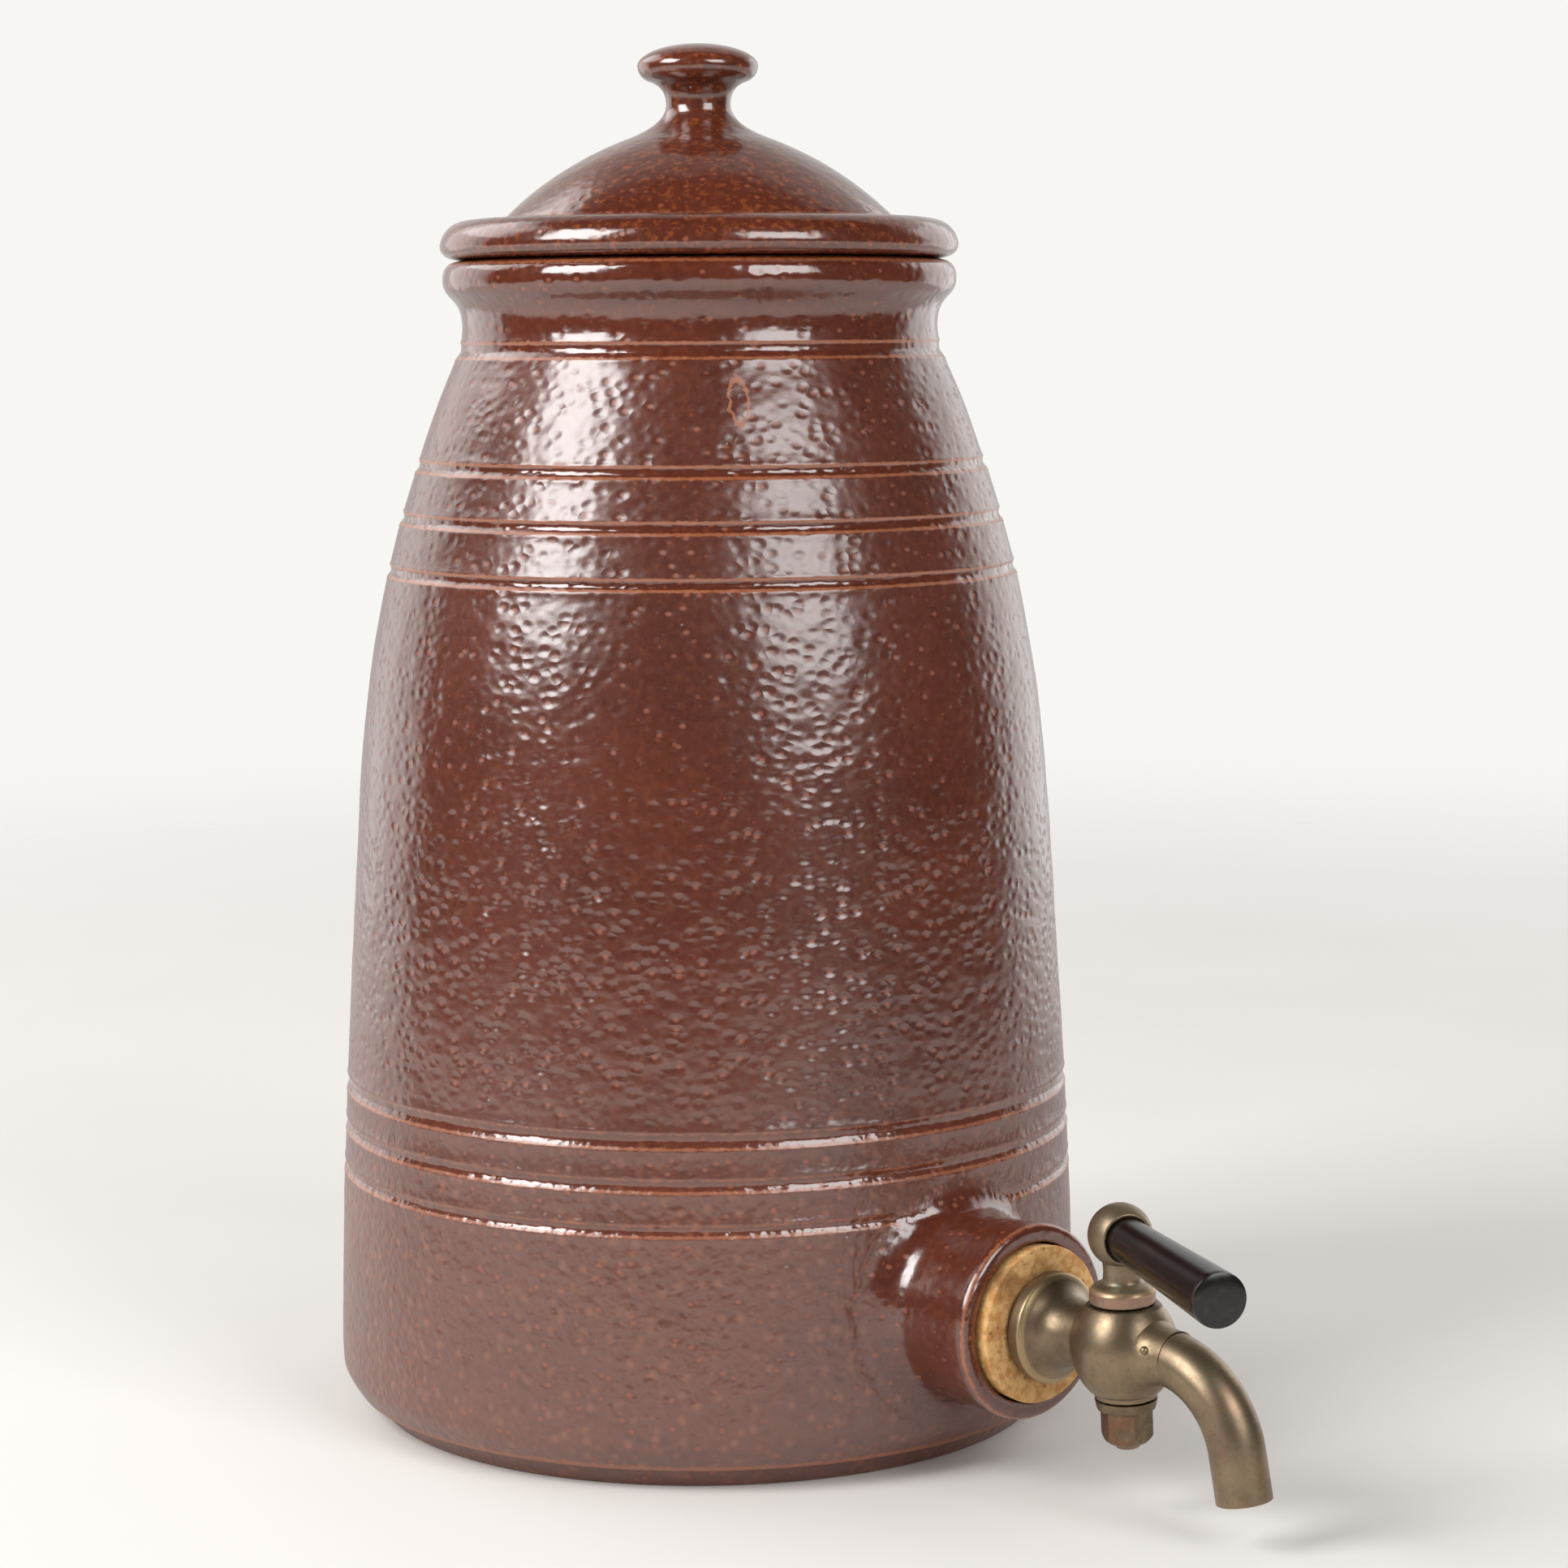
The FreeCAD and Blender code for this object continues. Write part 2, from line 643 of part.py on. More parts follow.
# ------------------------------------------------------------ plug and what is on it
def plug_turned():
    """Key, collar, waisted neck and ball, with heights from the tap's line."""
    collar_low = rz(COLLAR_R, BULB_UP + PLUG_END_GAP)
    collar_high = collar_low + UP * COLLAR_H
    shoulder = collar_high + rz(-SHOULDER_W, SHOULDER_H)
    neck = rz(PLUG_NECK_R, BULB_UP + PLUG_NECK_UP)
    ball = rz(0, BULB_UP + BALL_UP)
    blend = ball + rz(math.sqrt(BALL_R ** 2 - BALL_BLEND ** 2), -BALL_BLEND)
    key_low = rz(key_radius(KEY_LOW), KEY_LOW)
    key_high = rz(key_radius(collar_low.z), collar_low.z)
    top = ball + UP * BALL_R
    return turned([
        line(rz(0, KEY_LOW), key_low),
        line(key_low, key_high),
        line(key_high, collar_low),
        line(collar_low, collar_high),
        bulge(collar_high, shoulder, SHOULDER_SWELL),
        bezier(shoulder, rz(PLUG_NECK_R, shoulder.z), neck),
        bezier(neck, rz(PLUG_NECK_R, 0.5 * (neck.z + blend.z)), blend),
        arc(blend, ball + EAST * BALL_R, top),
        line(top, rz(0, KEY_LOW)),
    ])


def square_bar(side, low, high):
    bar = Part.makeBox(side, side, high - low)
    bar.translate(Base.Vector(-side / 2, -side / 2, low))
    return bar


def tap_plug():
    """Plug with the port through its key, the square and stud below it and the grip's seat in the ball."""
    square_low = NUT_TOP + PLUG_END_GAP
    square = square_bar(SQUARE_A, square_low, KEY_LOW)
    stud = rod(STUD_R, NUT_TOP - NUT_H - STUD_PROUD, square_low)
    port = rod(PORT_R, -2 * PLUG_R, 2 * PLUG_R)
    port.rotate(ORIGIN, EAST, 90)
    port.rotate(ORIGIN, UP, -HANDLE_TURN)
    plug = on_plug(plug_turned().fuse(square).fuse(stud).cut(port))
    past_ball = 2 * BALL_R
    plug = plug.cut(along_handle(rod(past_ball, BALL_FLAT, past_ball)))
    plug = plug.cut(along_handle(rod(GRIP_R + COUNTERBORE_GAP, GRIP_START, past_ball)))
    return plug.cut(along_handle(rod(PIN_R + SCREW_FIT, GRIP_START - PIN_IN_BALL, past_ball)))


def plug_washer():
    """Washer that the square turns with the plug."""
    top = rz(LOWER_BOSS_R - LOWER_BOSS_H * LOWER_BOSS_DRAFT, WASHER_TOP)
    low = rz(top.x - 2 * WASHER_T * LOWER_BOSS_DRAFT, NUT_TOP)
    disc = turned([
        line(rz(0, top.z), rz(0, low.z)),
        line(rz(0, low.z), low - EAST * WASHER_EDGE),
        rounded(low - EAST * WASHER_EDGE, low + UP * WASHER_EDGE),
        line(low + UP * WASHER_EDGE, top),
        line(top, rz(0, top.z)),
    ])
    return on_plug(disc.cut(square_bar(SQUARE_A + 2 * SCREW_FIT, NUT_TOP - PAST, WASHER_TOP + PAST)))


def plug_nut():
    """Hexagon nut with a domed end."""
    low = NUT_TOP - NUT_H
    corner_r = NUT_AF / math.sqrt(3)
    corners = []
    for step in range(7):
        angle = math.radians(NUT_TURN + 60 * step)
        corners.append(Base.Vector(corner_r * math.cos(angle), corner_r * math.sin(angle), low))
    prism = Part.Face(Part.makePolygon(corners)).extrude(UP * NUT_H)
    dome_edge = rz(corner_r, low + NUT_DOME_H)
    dome = turned([
        line(rz(0, low), rz(NUT_DOME_R, low)),
        bulge(rz(NUT_DOME_R, low), dome_edge, NUT_DOME_SWELL),
        line(dome_edge, rz(corner_r, NUT_TOP)),
        line(rz(corner_r, NUT_TOP), rz(0, NUT_TOP)),
        line(rz(0, NUT_TOP), rz(0, low)),
    ])
    thread = rod(STUD_R + SCREW_FIT, low - PAST, NUT_TOP + PAST)
    return on_plug(prism.common(dome).cut(thread))


# ------------------------------------------------------------ handle
def handle_grip():
    """Tapered grip, seated in the ball's counterbore, with a slightly domed end."""
    root = rz(GRIP_R, GRIP_START)
    face = rz(GRIP_END_R - GRIP_EDGE, HANDLE_L - GRIP_DOME)
    side_end = rz(GRIP_END_R, face.z - GRIP_EDGE)
    end = rz(0, HANDLE_L)
    sweep_r = (face.x ** 2 + GRIP_DOME ** 2) / (2 * GRIP_DOME)
    half = 0.5 * math.asin(face.x / sweep_r)
    grip = turned([
        line(rz(0, GRIP_START), root),
        line(root, side_end),
        rounded(side_end, face),
        arc(face, rz(sweep_r * math.sin(half), HANDLE_L - sweep_r * (1 - math.cos(half))), end),
        line(end, rz(0, GRIP_START)),
    ])
    return along_handle(grip.cut(rod(PIN_R + SCREW_FIT, GRIP_START - PAST, GRIP_START + PIN_IN_GRIP)))


def handle_pin():
    return along_handle(rod(PIN_R, GRIP_START - PIN_IN_BALL, GRIP_START + PIN_IN_GRIP))


POT_PARTS = {
    "pot_body": pot_body,
    "pot_lid": pot_lid,
    "cork_bung": cork_bung,
}
TAP_PARTS = {
    "tap_body": tap_body,
    "tap_spout": tap_spout,
    "spout_braze": spout_braze,
    "tap_plug": tap_plug,
    "plug_washer": plug_washer,
    "plug_nut": plug_nut,
    "handle_grip": handle_grip,
    "handle_pin": handle_pin,
}


def save(name, shape):
    shape.exportStep("parts/" + name + ".step")
    box = shape.BoundBox
    print(f"{name}: {len(shape.Solids)} solid, {shape.Volume / 1000:.1f} cm3, valid {shape.isValid()},"
          f" z {box.ZMin:.1f} to {box.ZMax:.1f}")


os.makedirs("parts", exist_ok=True)
for name, build in POT_PARTS.items():
    save(name, build())
for name, build in TAP_PARTS.items():
    save(name, as_pushed_in(build()))
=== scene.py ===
# %% [markdown]
# # A stoneware water pot with a brass tap
# The pot is thrown on a wheel and salt glazed. A cork bung holds a cast brass tap in a boss near its foot,
# and a loose lid drops in its mouth. The measured model is loaded first, and every piece made here sits
# where the measured one does, so nothing has to be fitted by eye. Outlines are written in millimetres,
# because a potter and a brass founder think in them, and become metres when they are drawn.

import math

import bmesh
import bpy
from mathutils import Euler, Matrix, Vector


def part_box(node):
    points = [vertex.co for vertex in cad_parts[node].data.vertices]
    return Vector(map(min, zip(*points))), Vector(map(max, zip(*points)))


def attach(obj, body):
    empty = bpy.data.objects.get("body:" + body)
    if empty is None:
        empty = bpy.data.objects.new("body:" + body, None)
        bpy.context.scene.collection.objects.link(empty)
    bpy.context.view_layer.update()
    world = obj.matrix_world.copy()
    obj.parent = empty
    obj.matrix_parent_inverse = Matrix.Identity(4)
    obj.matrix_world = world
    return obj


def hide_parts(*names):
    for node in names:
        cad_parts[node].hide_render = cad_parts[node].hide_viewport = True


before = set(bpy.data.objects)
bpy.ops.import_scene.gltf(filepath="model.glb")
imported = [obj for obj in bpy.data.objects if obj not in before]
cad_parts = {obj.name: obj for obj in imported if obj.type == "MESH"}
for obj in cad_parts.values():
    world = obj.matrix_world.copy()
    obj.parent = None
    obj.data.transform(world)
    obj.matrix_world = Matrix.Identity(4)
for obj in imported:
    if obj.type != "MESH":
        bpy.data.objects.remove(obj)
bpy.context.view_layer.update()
MM = 0.001
print("nodes:", ", ".join(sorted(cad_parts)))

# %% [markdown]
# ## Camera
# The camera stands a little above the middle of the pot and looks slightly down, about 40 degrees round
# from the tap's line, so that the tap comes forward on the right.

# %% Camera
VIEW_FROM = (-0.5530, -0.6521, 0.2406)
VIEW_HEADING = 41.506
VIEW_DOWN = 6.71
VIEW_ROLL = -0.364
LENS = 87.58

bpy.ops.object.camera_add(location=VIEW_FROM)
camera = bpy.context.object
aim = Euler((math.radians(90 - VIEW_DOWN), 0, math.radians(-VIEW_HEADING))).to_matrix()
camera.rotation_euler = (aim @ Matrix.Rotation(math.radians(VIEW_ROLL), 3, "Z")).to_euler()
camera.data.lens = LENS
bpy.context.scene.camera = camera

# %% [markdown]
# ## Light
# Two soft boxes stand high on the left and right of the camera, and glaze shows each as a soft streak. Three
# weaker ones stand further round, so that the far side has streaks of its own. Above the floor the room is
# dim on the camera's side, which keeps the middle of the pot deep brown. Elsewhere it is pale, and darker
# again towards the ceiling.

# %% Soft boxes
CAMERA_BEARING = -40.3
LAMP_AWAY = 1.6
LAMP_AIM = Vector((0, 0, 0.17))


def bearing(angle):
    """Level direction this many degrees to the right of the camera, seen from the pot."""
    turn = math.radians(CAMERA_BEARING + angle)
    return Vector((math.sin(turn), -math.cos(turn), 0))


def soft_box(name, angle, rise, width, height, glow):
    """A soft box, placed and sized in degrees as seen from the pot. Glow is its brightness as a surface."""
    up = math.radians(rise)
    place = LAMP_AIM + (bearing(angle) * math.cos(up) + Vector((0, 0, math.sin(up)))) * LAMP_AWAY
    bpy.ops.object.light_add(type="AREA", location=place)
    lamp = bpy.context.object
    lamp.name = name
    lamp.visible_camera = False
    lamp.rotation_euler = (LAMP_AIM - place).to_track_quat("-Z", "Y").to_euler()
    across, tall = (2 * LAMP_AWAY * math.tan(math.radians(size / 2)) for size in (width, height))
    lamp.data.shape = "RECTANGLE"
    lamp.data.size, lamp.data.size_y = across, tall
    lamp.data.energy = glow * math.pi * across * tall
    print(name, "at", [round(v, 2) for v in place], "power", round(lamp.data.energy, 1))


soft_box("soft_box_left", -60, 32, 27, 35, 9.6)
soft_box("soft_box_right", 37, 26, 29, 32, 5.2)
soft_box("soft_box_high_left", -120, 38, 38, 28, 1.6)
soft_box("soft_box_back_left", -128, 16, 42, 60, 0.9)
soft_box("soft_box_back_right", 138, 8, 38, 46, 0.9)

# %% [markdown]
# ## Shader nodes, in short
# Every finish is built from a few kinds of node. These helpers add a node, set its values and link what is
# given as a socket, so that each finish further down reads like a recipe.

# %% Node helpers
def feed(tree, socket, value):
    """Link an input to a socket, or set it to a value."""
    if isinstance(value, bpy.types.NodeSocket):
        tree.links.new(value, socket)
    else:
        socket.default_value = value


def give(tree, sockets, **values):
    """Feed several inputs by their names."""
    for name, value in values.items():
        feed(tree, sockets[name.replace("_", " ")], value)


def put(tree, kind, settings=None, **inputs):
    """Add a node and feed its inputs by their names."""
    node = tree.nodes.new("ShaderNode" + kind)
    for name, value in (settings or {}).items():
        setattr(node, name, value)
    give(tree, node.inputs, **inputs)
    return node


def math_of(tree, operation, *values, kind="Math", result=0):
    """Add a node of arithmetic and feed its inputs in their order."""
    node = put(tree, kind, {"operation": operation})
    for socket, value in zip(node.inputs, values):
        feed(tree, socket, value)
    return node.outputs[result]


def measure(tree, operation, *vectors):
    """A number that is worked out from vectors, such as a length."""
    return math_of(tree, operation, *vectors, kind="VectorMath", result="Value")


def axis_of(tree, place, axis):
    return put(tree, "SeparateXYZ", Vector=place).outputs[axis]


def spread(tree, value, low, high, to_low=0.0, to_high=1.0):
    """Stretch the range low..high to to_low..to_high, with soft ends."""
    node = put(tree, "MapRange", {"interpolation_type": "SMOOTHSTEP"}, Value=value, From_Min=low,
               From_Max=high, To_Min=to_low, To_Max=to_high)
    return node.outputs[0]


def blend_colors(tree, factor, a, b):
    node = put(tree, "Mix", {"data_type": "RGBA"})
    for index, value in ((0, factor), (6, a), (7, b)):
        feed(tree, node.inputs[index], value)
    return node.outputs[2]


def noise(tree, vector, scale, detail=3.0, roughness=0.5, distortion=0.0):
    node = put(tree, "TexNoise", Vector=vector, Scale=scale, Detail=detail, Roughness=roughness,
               Distortion=distortion)
    return node.outputs["Fac"]


def rgb(red, green, blue):
    """A colour as a paint chart gives it, 0 to 255, turned to the linear light that Blender works in."""
    def linear(c):
        c = c / 255
        return c / 12.92 if c <= 0.04045 else ((c + 0.055) / 1.055) ** 2.4
    return linear(red), linear(green), linear(blue), 1.0


def spots(tree, vector, scale, size, share, core=0.4):
    """Round spots in a share of the cells of a pattern. Their size is given in cells."""
    cell = put(tree, "TexVoronoi", Vector=vector, Scale=scale)
    lot = put(tree, "SeparateColor", Color=cell.outputs["Color"]).outputs["Red"]
    chosen = math_of(tree, "LESS_THAN", lot, share)
    disc = spread(tree, cell.outputs["Distance"], size * core, size, 1.0, 0.0)
    return math_of(tree, "MULTIPLY", chosen, disc)


# %% World
PALE_ROOM = rgb(247, 246, 243)
ROOM_LEVEL = 0.85
DIM_LEVEL = 0.04                # as glaze and brass see it
DIM_FILL = 0.80                 # as it lights matt surfaces, so that shadows stay soft
DIM_ROUND = (-0.58, -0.28)      # where it turns dim, counted towards the camera on a ball of radius 1
DIM_RISE = (-0.34, -0.15)       # the same, counted upwards
CEILING = 0.45                  # the ceiling is this much of the level of what is below it
CEILING_RISE = (0.35, 0.85)

bpy.context.scene.view_settings.view_transform = "Standard"
world = bpy.data.worlds.new("pale_room")
bpy.context.scene.world = world
world.use_nodes = True
room = world.node_tree
room.nodes.clear()
direction = put(room, "TexCoord").outputs["Generated"]
ahead = spread(room, measure(room, "DOT_PRODUCT", direction, bearing(0)), *DIM_ROUND)
height = axis_of(room, direction, "Z")
dim = math_of(room, "MULTIPLY", ahead, spread(room, height, *DIM_RISE))
rays = put(room, "LightPath").outputs
dim_level = spread(room, rays["Is Diffuse Ray"], 0.0, 1.0, DIM_LEVEL, DIM_FILL)
around = spread(room, dim, 0.0, 1.0, ROOM_LEVEL, dim_level)
around = math_of(room, "MULTIPLY", around, spread(room, height, *CEILING_RISE, 1.0, CEILING))
seen = math_of(room, "MAXIMUM", rays["Is Camera Ray"], rays["Is Transmission Ray"])
glow = put(room, "Background", Color=PALE_ROOM, Strength=math_of(room, "MAXIMUM", seen, around))
room.links.new(glow.outputs[0], put(room, "OutputWorld").inputs["Surface"])

# %% [markdown]
# ## Floor
# A large round sheet of pale paper. It thins out to nothing well behind the pot, where the room's own colour
# takes over, so that no horizon shows, and it keeps the pot's soft shadow.

# %% Floor
FLOOR_R = 1.5
FLOOR_FADE = (0.45, 1.4)


def new_material(name):
    """A material, its node tree, the inputs of its surface, and the place that its patterns follow."""
    material = bpy.data.materials.new(name)
    material.use_nodes = True
    tree = material.node_tree
    skin = tree.nodes["Principled BSDF"].inputs
    place = put(tree, "TexCoord").outputs["Object"]
    return material, tree, skin, place


def dress(obj, material):
    obj.data.materials.clear()
    obj.data.materials.append(material)


def pale_paper():
    material, tree, skin, place = new_material("pale_paper")
    color = blend_colors(tree, noise(tree, place, 9.0, 2.0), rgb(221, 218, 215), rgb(227, 224, 221))
    fade = spread(tree, measure(tree, "LENGTH", place), *FLOOR_FADE, 1.0, 0.0)
    give(tree, skin, Base_Color=color, Roughness=0.75, Specular_IOR_Level=0.2, Alpha=fade)
    return material


bpy.ops.mesh.primitive_circle_add(vertices=96, radius=FLOOR_R, fill_type="NGON")
floor = bpy.context.object
floor.name = "paper_floor"
dress(floor, pale_paper())

# %% [markdown]
# ## Turning on the wheel
# Pot, lid, cork and most of the tap are turned pieces. Each starts as an outline of a few lines and curves,
# drawn in the XZ plane and counted outwards from the axis, and is then spun round the axis, as clay or brass
# is turned. This gives true circles and leaves every ring of points selectable by its height.

# %% Outlines
def bezier(a, handle_a, handle_b, b, t):
    """What a Bezier curve from a to b gives at a share t of its way."""
    s = 1 - t
    return s ** 3 * a + 3 * s * s * t * handle_a + 3 * s * t * t * handle_b + t ** 3 * b


def curve_points(a, handle_a, handle_b, b, spacing):
    """Points along a Bezier curve from a to b, a left out."""
    a, handle_a, handle_b, b = (Vector(p) for p in (a, handle_a, handle_b, b))
    by_handles = (handle_a - a).length + (handle_b - handle_a).length + (b - handle_b).length
    count = max(2, round((by_handles + (b - a).length) / 2 / spacing))
    return [bezier(a, handle_a, handle_b, b, step / count) for step in range(1, count + 1)]


def outline(start, *steps, spacing=1.0):
    """Points of an outline. A step is an end, a corner to round and an end, or two handles and an end."""
    points = [Vector(start)]
    for step in steps:
        if len(step) == 3:
            points += curve_points(points[-1], *step, spacing)
        elif hasattr(step[0], "__len__"):
            corner, end = Vector(step[0]), Vector(step[1])
            handles = [(side + 2 * corner) / 3 for side in (points[-1], end)]
            points += curve_points(points[-1], *handles, end, spacing)
        else:
            way = Vector(step) - points[-1]
            count = max(1, round(way.length / spacing))
            points += [points[-1] + way * (k / count) for k in range(1, count + 1)]
    return points


def draw(name, points):
    """A chain of edges through (radius, height) points in millimetres."""
    bpy.ops.curve.primitive_nurbs_path_add()
    drawn = bpy.context.object
    drawn.name = name
    drawn.data.splines.clear()
    chain = drawn.data.splines.new("POLY")
    chain.points.add(len(points) - 1)
    for knot, (radius, height) in zip(chain.points, points):
        knot.co = (radius * MM, 0, height * MM, 1)
    bpy.ops.object.convert(target="MESH")
    return bpy.context.object


# %% The wheel
TINY = 1e-6


def only(obj):
    """Make obj the one selected and active object."""
    bpy.ops.object.select_all(action="DESELECT")
    obj.select_set(True)
    bpy.context.view_layer.objects.active = obj


def edit(obj):
    """Open a mesh for editing, with everything in it selected."""
    only(obj)
    bpy.ops.object.mode_set(mode="EDIT")
    bpy.ops.mesh.select_all(action="SELECT")


def leave_edit():
    bpy.ops.object.mode_set(mode="OBJECT")


def face_outwards():
    bpy.ops.mesh.select_all(action="SELECT")
    bpy.ops.mesh.normals_make_consistent(inside=False)


def turned(name, points, steps=96):
    """Turn an outline round +Z, close its seam and point its faces outwards."""
    obj = draw(name, points)
    edit(obj)
    bpy.ops.mesh.spin(steps=steps, angle=math.tau, center=(0, 0, 0), axis=(0, 0, 1))
    bpy.ops.mesh.select_all(action="SELECT")
    bpy.ops.mesh.remove_doubles(threshold=TINY)
    bpy.ops.mesh.delete_loose(use_verts=True, use_edges=True, use_faces=False)
    face_outwards()
    leave_edit()
    return obj


def report(obj):
    print(obj.name, len(obj.data.polygons), "faces")


# %% [markdown]
# ## The pot's wall
# The wall is a single slow curve from the heel to the neck, known by its radius and its lean at seven
# heights. Seven shallow channels were turned in it with a rounded tool while it was wet: one under the neck,
# three round the shoulder and three above the tap. The clay stands up in a fine lip at both edges of each.

# %% Wall radius and channels
HEEL_Z = 11.0
NECK_Z = 243.0
WALL = (  # height, radius, lean (change of radius per millimetre of height)
    (HEEL_Z, 83.2, 0.08),
    (29.0, 83.4, -0.0242),
    (118.0, 79.0, -0.0631),
    (189.5, 70.3, -0.2431),
    (214.0, 63.0, -0.3397),
    (234.3, 55.2, -0.4591),
    (NECK_Z, 52.8, 0.0),
)
CHANNELS = (  # heights of the two edges
    (239.2, 236.0),
    (213.6, 211.2), (202.2, 199.8), (190.6, 188.3),
    (76.7, 73.6), (67.1, 64.5), (57.5, 55.2),
)
CHANNEL_DEPTH = 0.5
CHANNEL_DEEPEST = 0.55       # share of the way down a channel at which it is deepest
CHANNEL_RINGS = (0.0, 0.1, 0.24, 0.4, 0.55, 0.7, 0.85, 1.0)     # shares at which it gets a ring of points
LIP = 0.12
LIP_W = 0.9


def wall_radius(z):
    """Radius of the plain wall at a height."""
    for (z0, r0, lean0), (z1, r1, lean1) in zip(WALL, WALL[1:]):
        if z <= z1:
            break
    h = z1 - z0
    return bezier(r0, r0 + lean0 * h / 3, r1 - lean1 * h / 3, r1, (z - z0) / h)


def channel_profile(z):
    """How far the surface is pushed out or in by the channels at a height."""
    push = 0.0
    for high, low in CHANNELS:
        off = max(z - high, low - z)
        way = (high - z) / (high - low)
        if 0 < off < LIP_W:
            push += LIP * math.sin(math.pi * off / LIP_W)
        elif off <= 0 and way < CHANNEL_DEEPEST:
            push -= CHANNEL_DEPTH * (1 - (1 - way / CHANNEL_DEEPEST) ** 2)
        elif off <= 0:
            push -= CHANNEL_DEPTH * (1 - way) / (1 - CHANNEL_DEEPEST)
    return push


def wall_heights(low, high, spacing):
    """Heights for the rings of the wall: even ones, and closer ones at each channel."""
    special = set()
    for upper, lower in CHANNELS:
        special |= {upper - share * (upper - lower) for share in CHANNEL_RINGS}
        special |= {upper + LIP_W, upper + LIP_W / 2, lower - LIP_W / 2, lower - LIP_W}
    heights = [low]
    for stop in sorted({round(height, 2) for height in special}) + [high]:
        gap = stop - heights[-1]
        if gap > 0.2:
            count = max(1, round(gap / spacing))
            heights += [stop - gap * k / count for k in range(count - 1, -1, -1)]
    return heights


# %% [markdown]
# ## The pot, thrown
# The whole section of the pot is one closed outline: foot, heel, wall, rolled rim, mouth, inner wall and
# floor. Spun in one go, it gives a wall with a real thickness, so that the inside is there when the lid is
# lifted.

# %% Throw the pot
MOUTH_Z = 257.4
MOUTH_R = 46.8
WALL_T = 7.0
INSIDE_Z = 10.0
POT_STEPS = 300


def pot_outline():
    foot = outline(
        (73.7, 0), ((74.3, 0), (74.6, 0.3), (74.8, 0.9)), (76.7, 3.7),
        ((76.9, 4.1), (77.1, 4.2), (77.5, 4.25)), (79.2, 4.7), ((80.0, 4.85), (80.2, 5.3), (80.6, 5.9)),
        ((82.0, 8.0), (83.0, 9.6), (83.2, HEEL_Z)), spacing=1.1)
    heights = wall_heights(HEEL_Z, NECK_Z, 1.9)[1:]
    wall = [Vector((wall_radius(z) + channel_profile(z), z)) for z in heights]
    rim = outline(
        (52.8, NECK_Z), ((52.8, 249.5), (57.0, 248.6), (57.0, 253.0)),
        ((57.0, 256.2), (55.4, MOUTH_Z), (51.0, MOUTH_Z)), (48.4, MOUTH_Z),
        ((47.5, MOUTH_Z), (MOUTH_R, 256.7), (MOUTH_R, 255.8)), spacing=0.9)[1:]
    inside = [Vector((MOUTH_R, 250.0))]
    inside += [Vector((wall_radius(z) - WALL_T, z)) for z in range(234, 20, -6)]
    inside += outline((76.3, 19.0), ((76.3, 14.0), (72.3, INSIDE_Z), (67.3, INSIDE_Z)), (40, INSIDE_Z),
                      (0, INSIDE_Z), spacing=8)
    return [Vector((0, 0)), Vector((40, 0))] + foot + wall + rim + inside + [Vector((0, 0))]


pot = turned("thrown_pot", pot_outline(), POT_STEPS)
report(pot)

# %% [markdown]
# ## The tap boss
# The boss is a thick ring of clay luted on the wall. It is spun round the tap's line, its root is pressed
# against the wall, and then each ring of the root is lifted off again by its own height, which gives the
# round that a thumb leaves in the corner. The wall behind it is cut away, and the two edges are bridged.

# %% Selecting by place, moving and changing
TAP_Z = 36.0
BELLY_R = 83.4


def off_line(place):
    """Distance of a place from the tap's line."""
    return math.hypot(place.x, place.z - TAP_Z)


def off_axis(place):
    """Distance of a place from the pot's axis."""
    return math.hypot(place.x, place.y)


def pick(obj, test, kind="VERT"):
    """In edit mode, select what passes the test, which is given a place in millimetres."""
    bpy.ops.mesh.select_mode(type=kind)
    bpy.ops.mesh.select_all(action="DESELECT")
    mesh = bmesh.from_edit_mesh(obj.data)
    if kind == "VERT":
        for v in mesh.verts:
            v.select = test(v.co / MM)
    elif kind == "FACE":
        for f in mesh.faces:
            f.select = test(f.calc_center_median() / MM)
    else:
        for e in mesh.edges:
            e.select = e.is_boundary and all(test(v.co / MM) for v in e.verts)
    mesh.select_flush_mode()
    bmesh.update_edit_mesh(obj.data)


def turn_about(obj, angle, axis, center=(0, 0, 0)):
    """Turn a whole mesh by degrees, right-handed, about a line through a place in millimetres."""
    edit(obj)
    bpy.ops.transform.rotate(value=-math.radians(angle), orient_axis=axis, orient_type="GLOBAL",
                             center_override=Vector(center) * MM)
    leave_edit()


def shift(obj, x, y, z):
    edit(obj)
    bpy.ops.transform.translate(value=(x * MM, y * MM, z * MM))
    leave_edit()


def lay_along_tap(obj):
    """What was a height becomes a distance from the pot's axis, along the tap's line."""
    turn_about(obj, 90, "X")
    shift(obj, 0, 0, TAP_Z)


def modify(obj, kind, **settings):
    """Give a piece a modifier."""
    modifier = obj.modifiers.new(kind.lower(), kind)
    for name, value in settings.items():
        setattr(modifier, name, value)


def keep_modifiers(obj):
    only(obj)
    for modifier in list(obj.modifiers):
        bpy.ops.object.modifier_apply(modifier=modifier.name)


# %% Spin the boss and press it on the wall
BOSS_STEPS = 144
BOSS_WAIST_R = 20.1
BOSS_FACE = 105.0
ROOT_ROUND = 6.2
ROOT_STEPS = 8
CREASE = 0.25           # the thumb sinks the outermost ring of the root by this much
SKIRT_R = 27.5          # this ring lies on the wall
THROAT = 77.0           # the bore ends nearer the pot's axis than this


def root_ring(step):
    """Radius of a ring of the root, and how far it is lifted off the wall."""
    turn = math.radians(90 * step / ROOT_STEPS)
    lift = ROOT_ROUND * (1 - math.cos(turn)) if step else -CREASE
    return Vector((BOSS_WAIST_R + ROOT_ROUND * (1 - math.sin(turn)), lift))


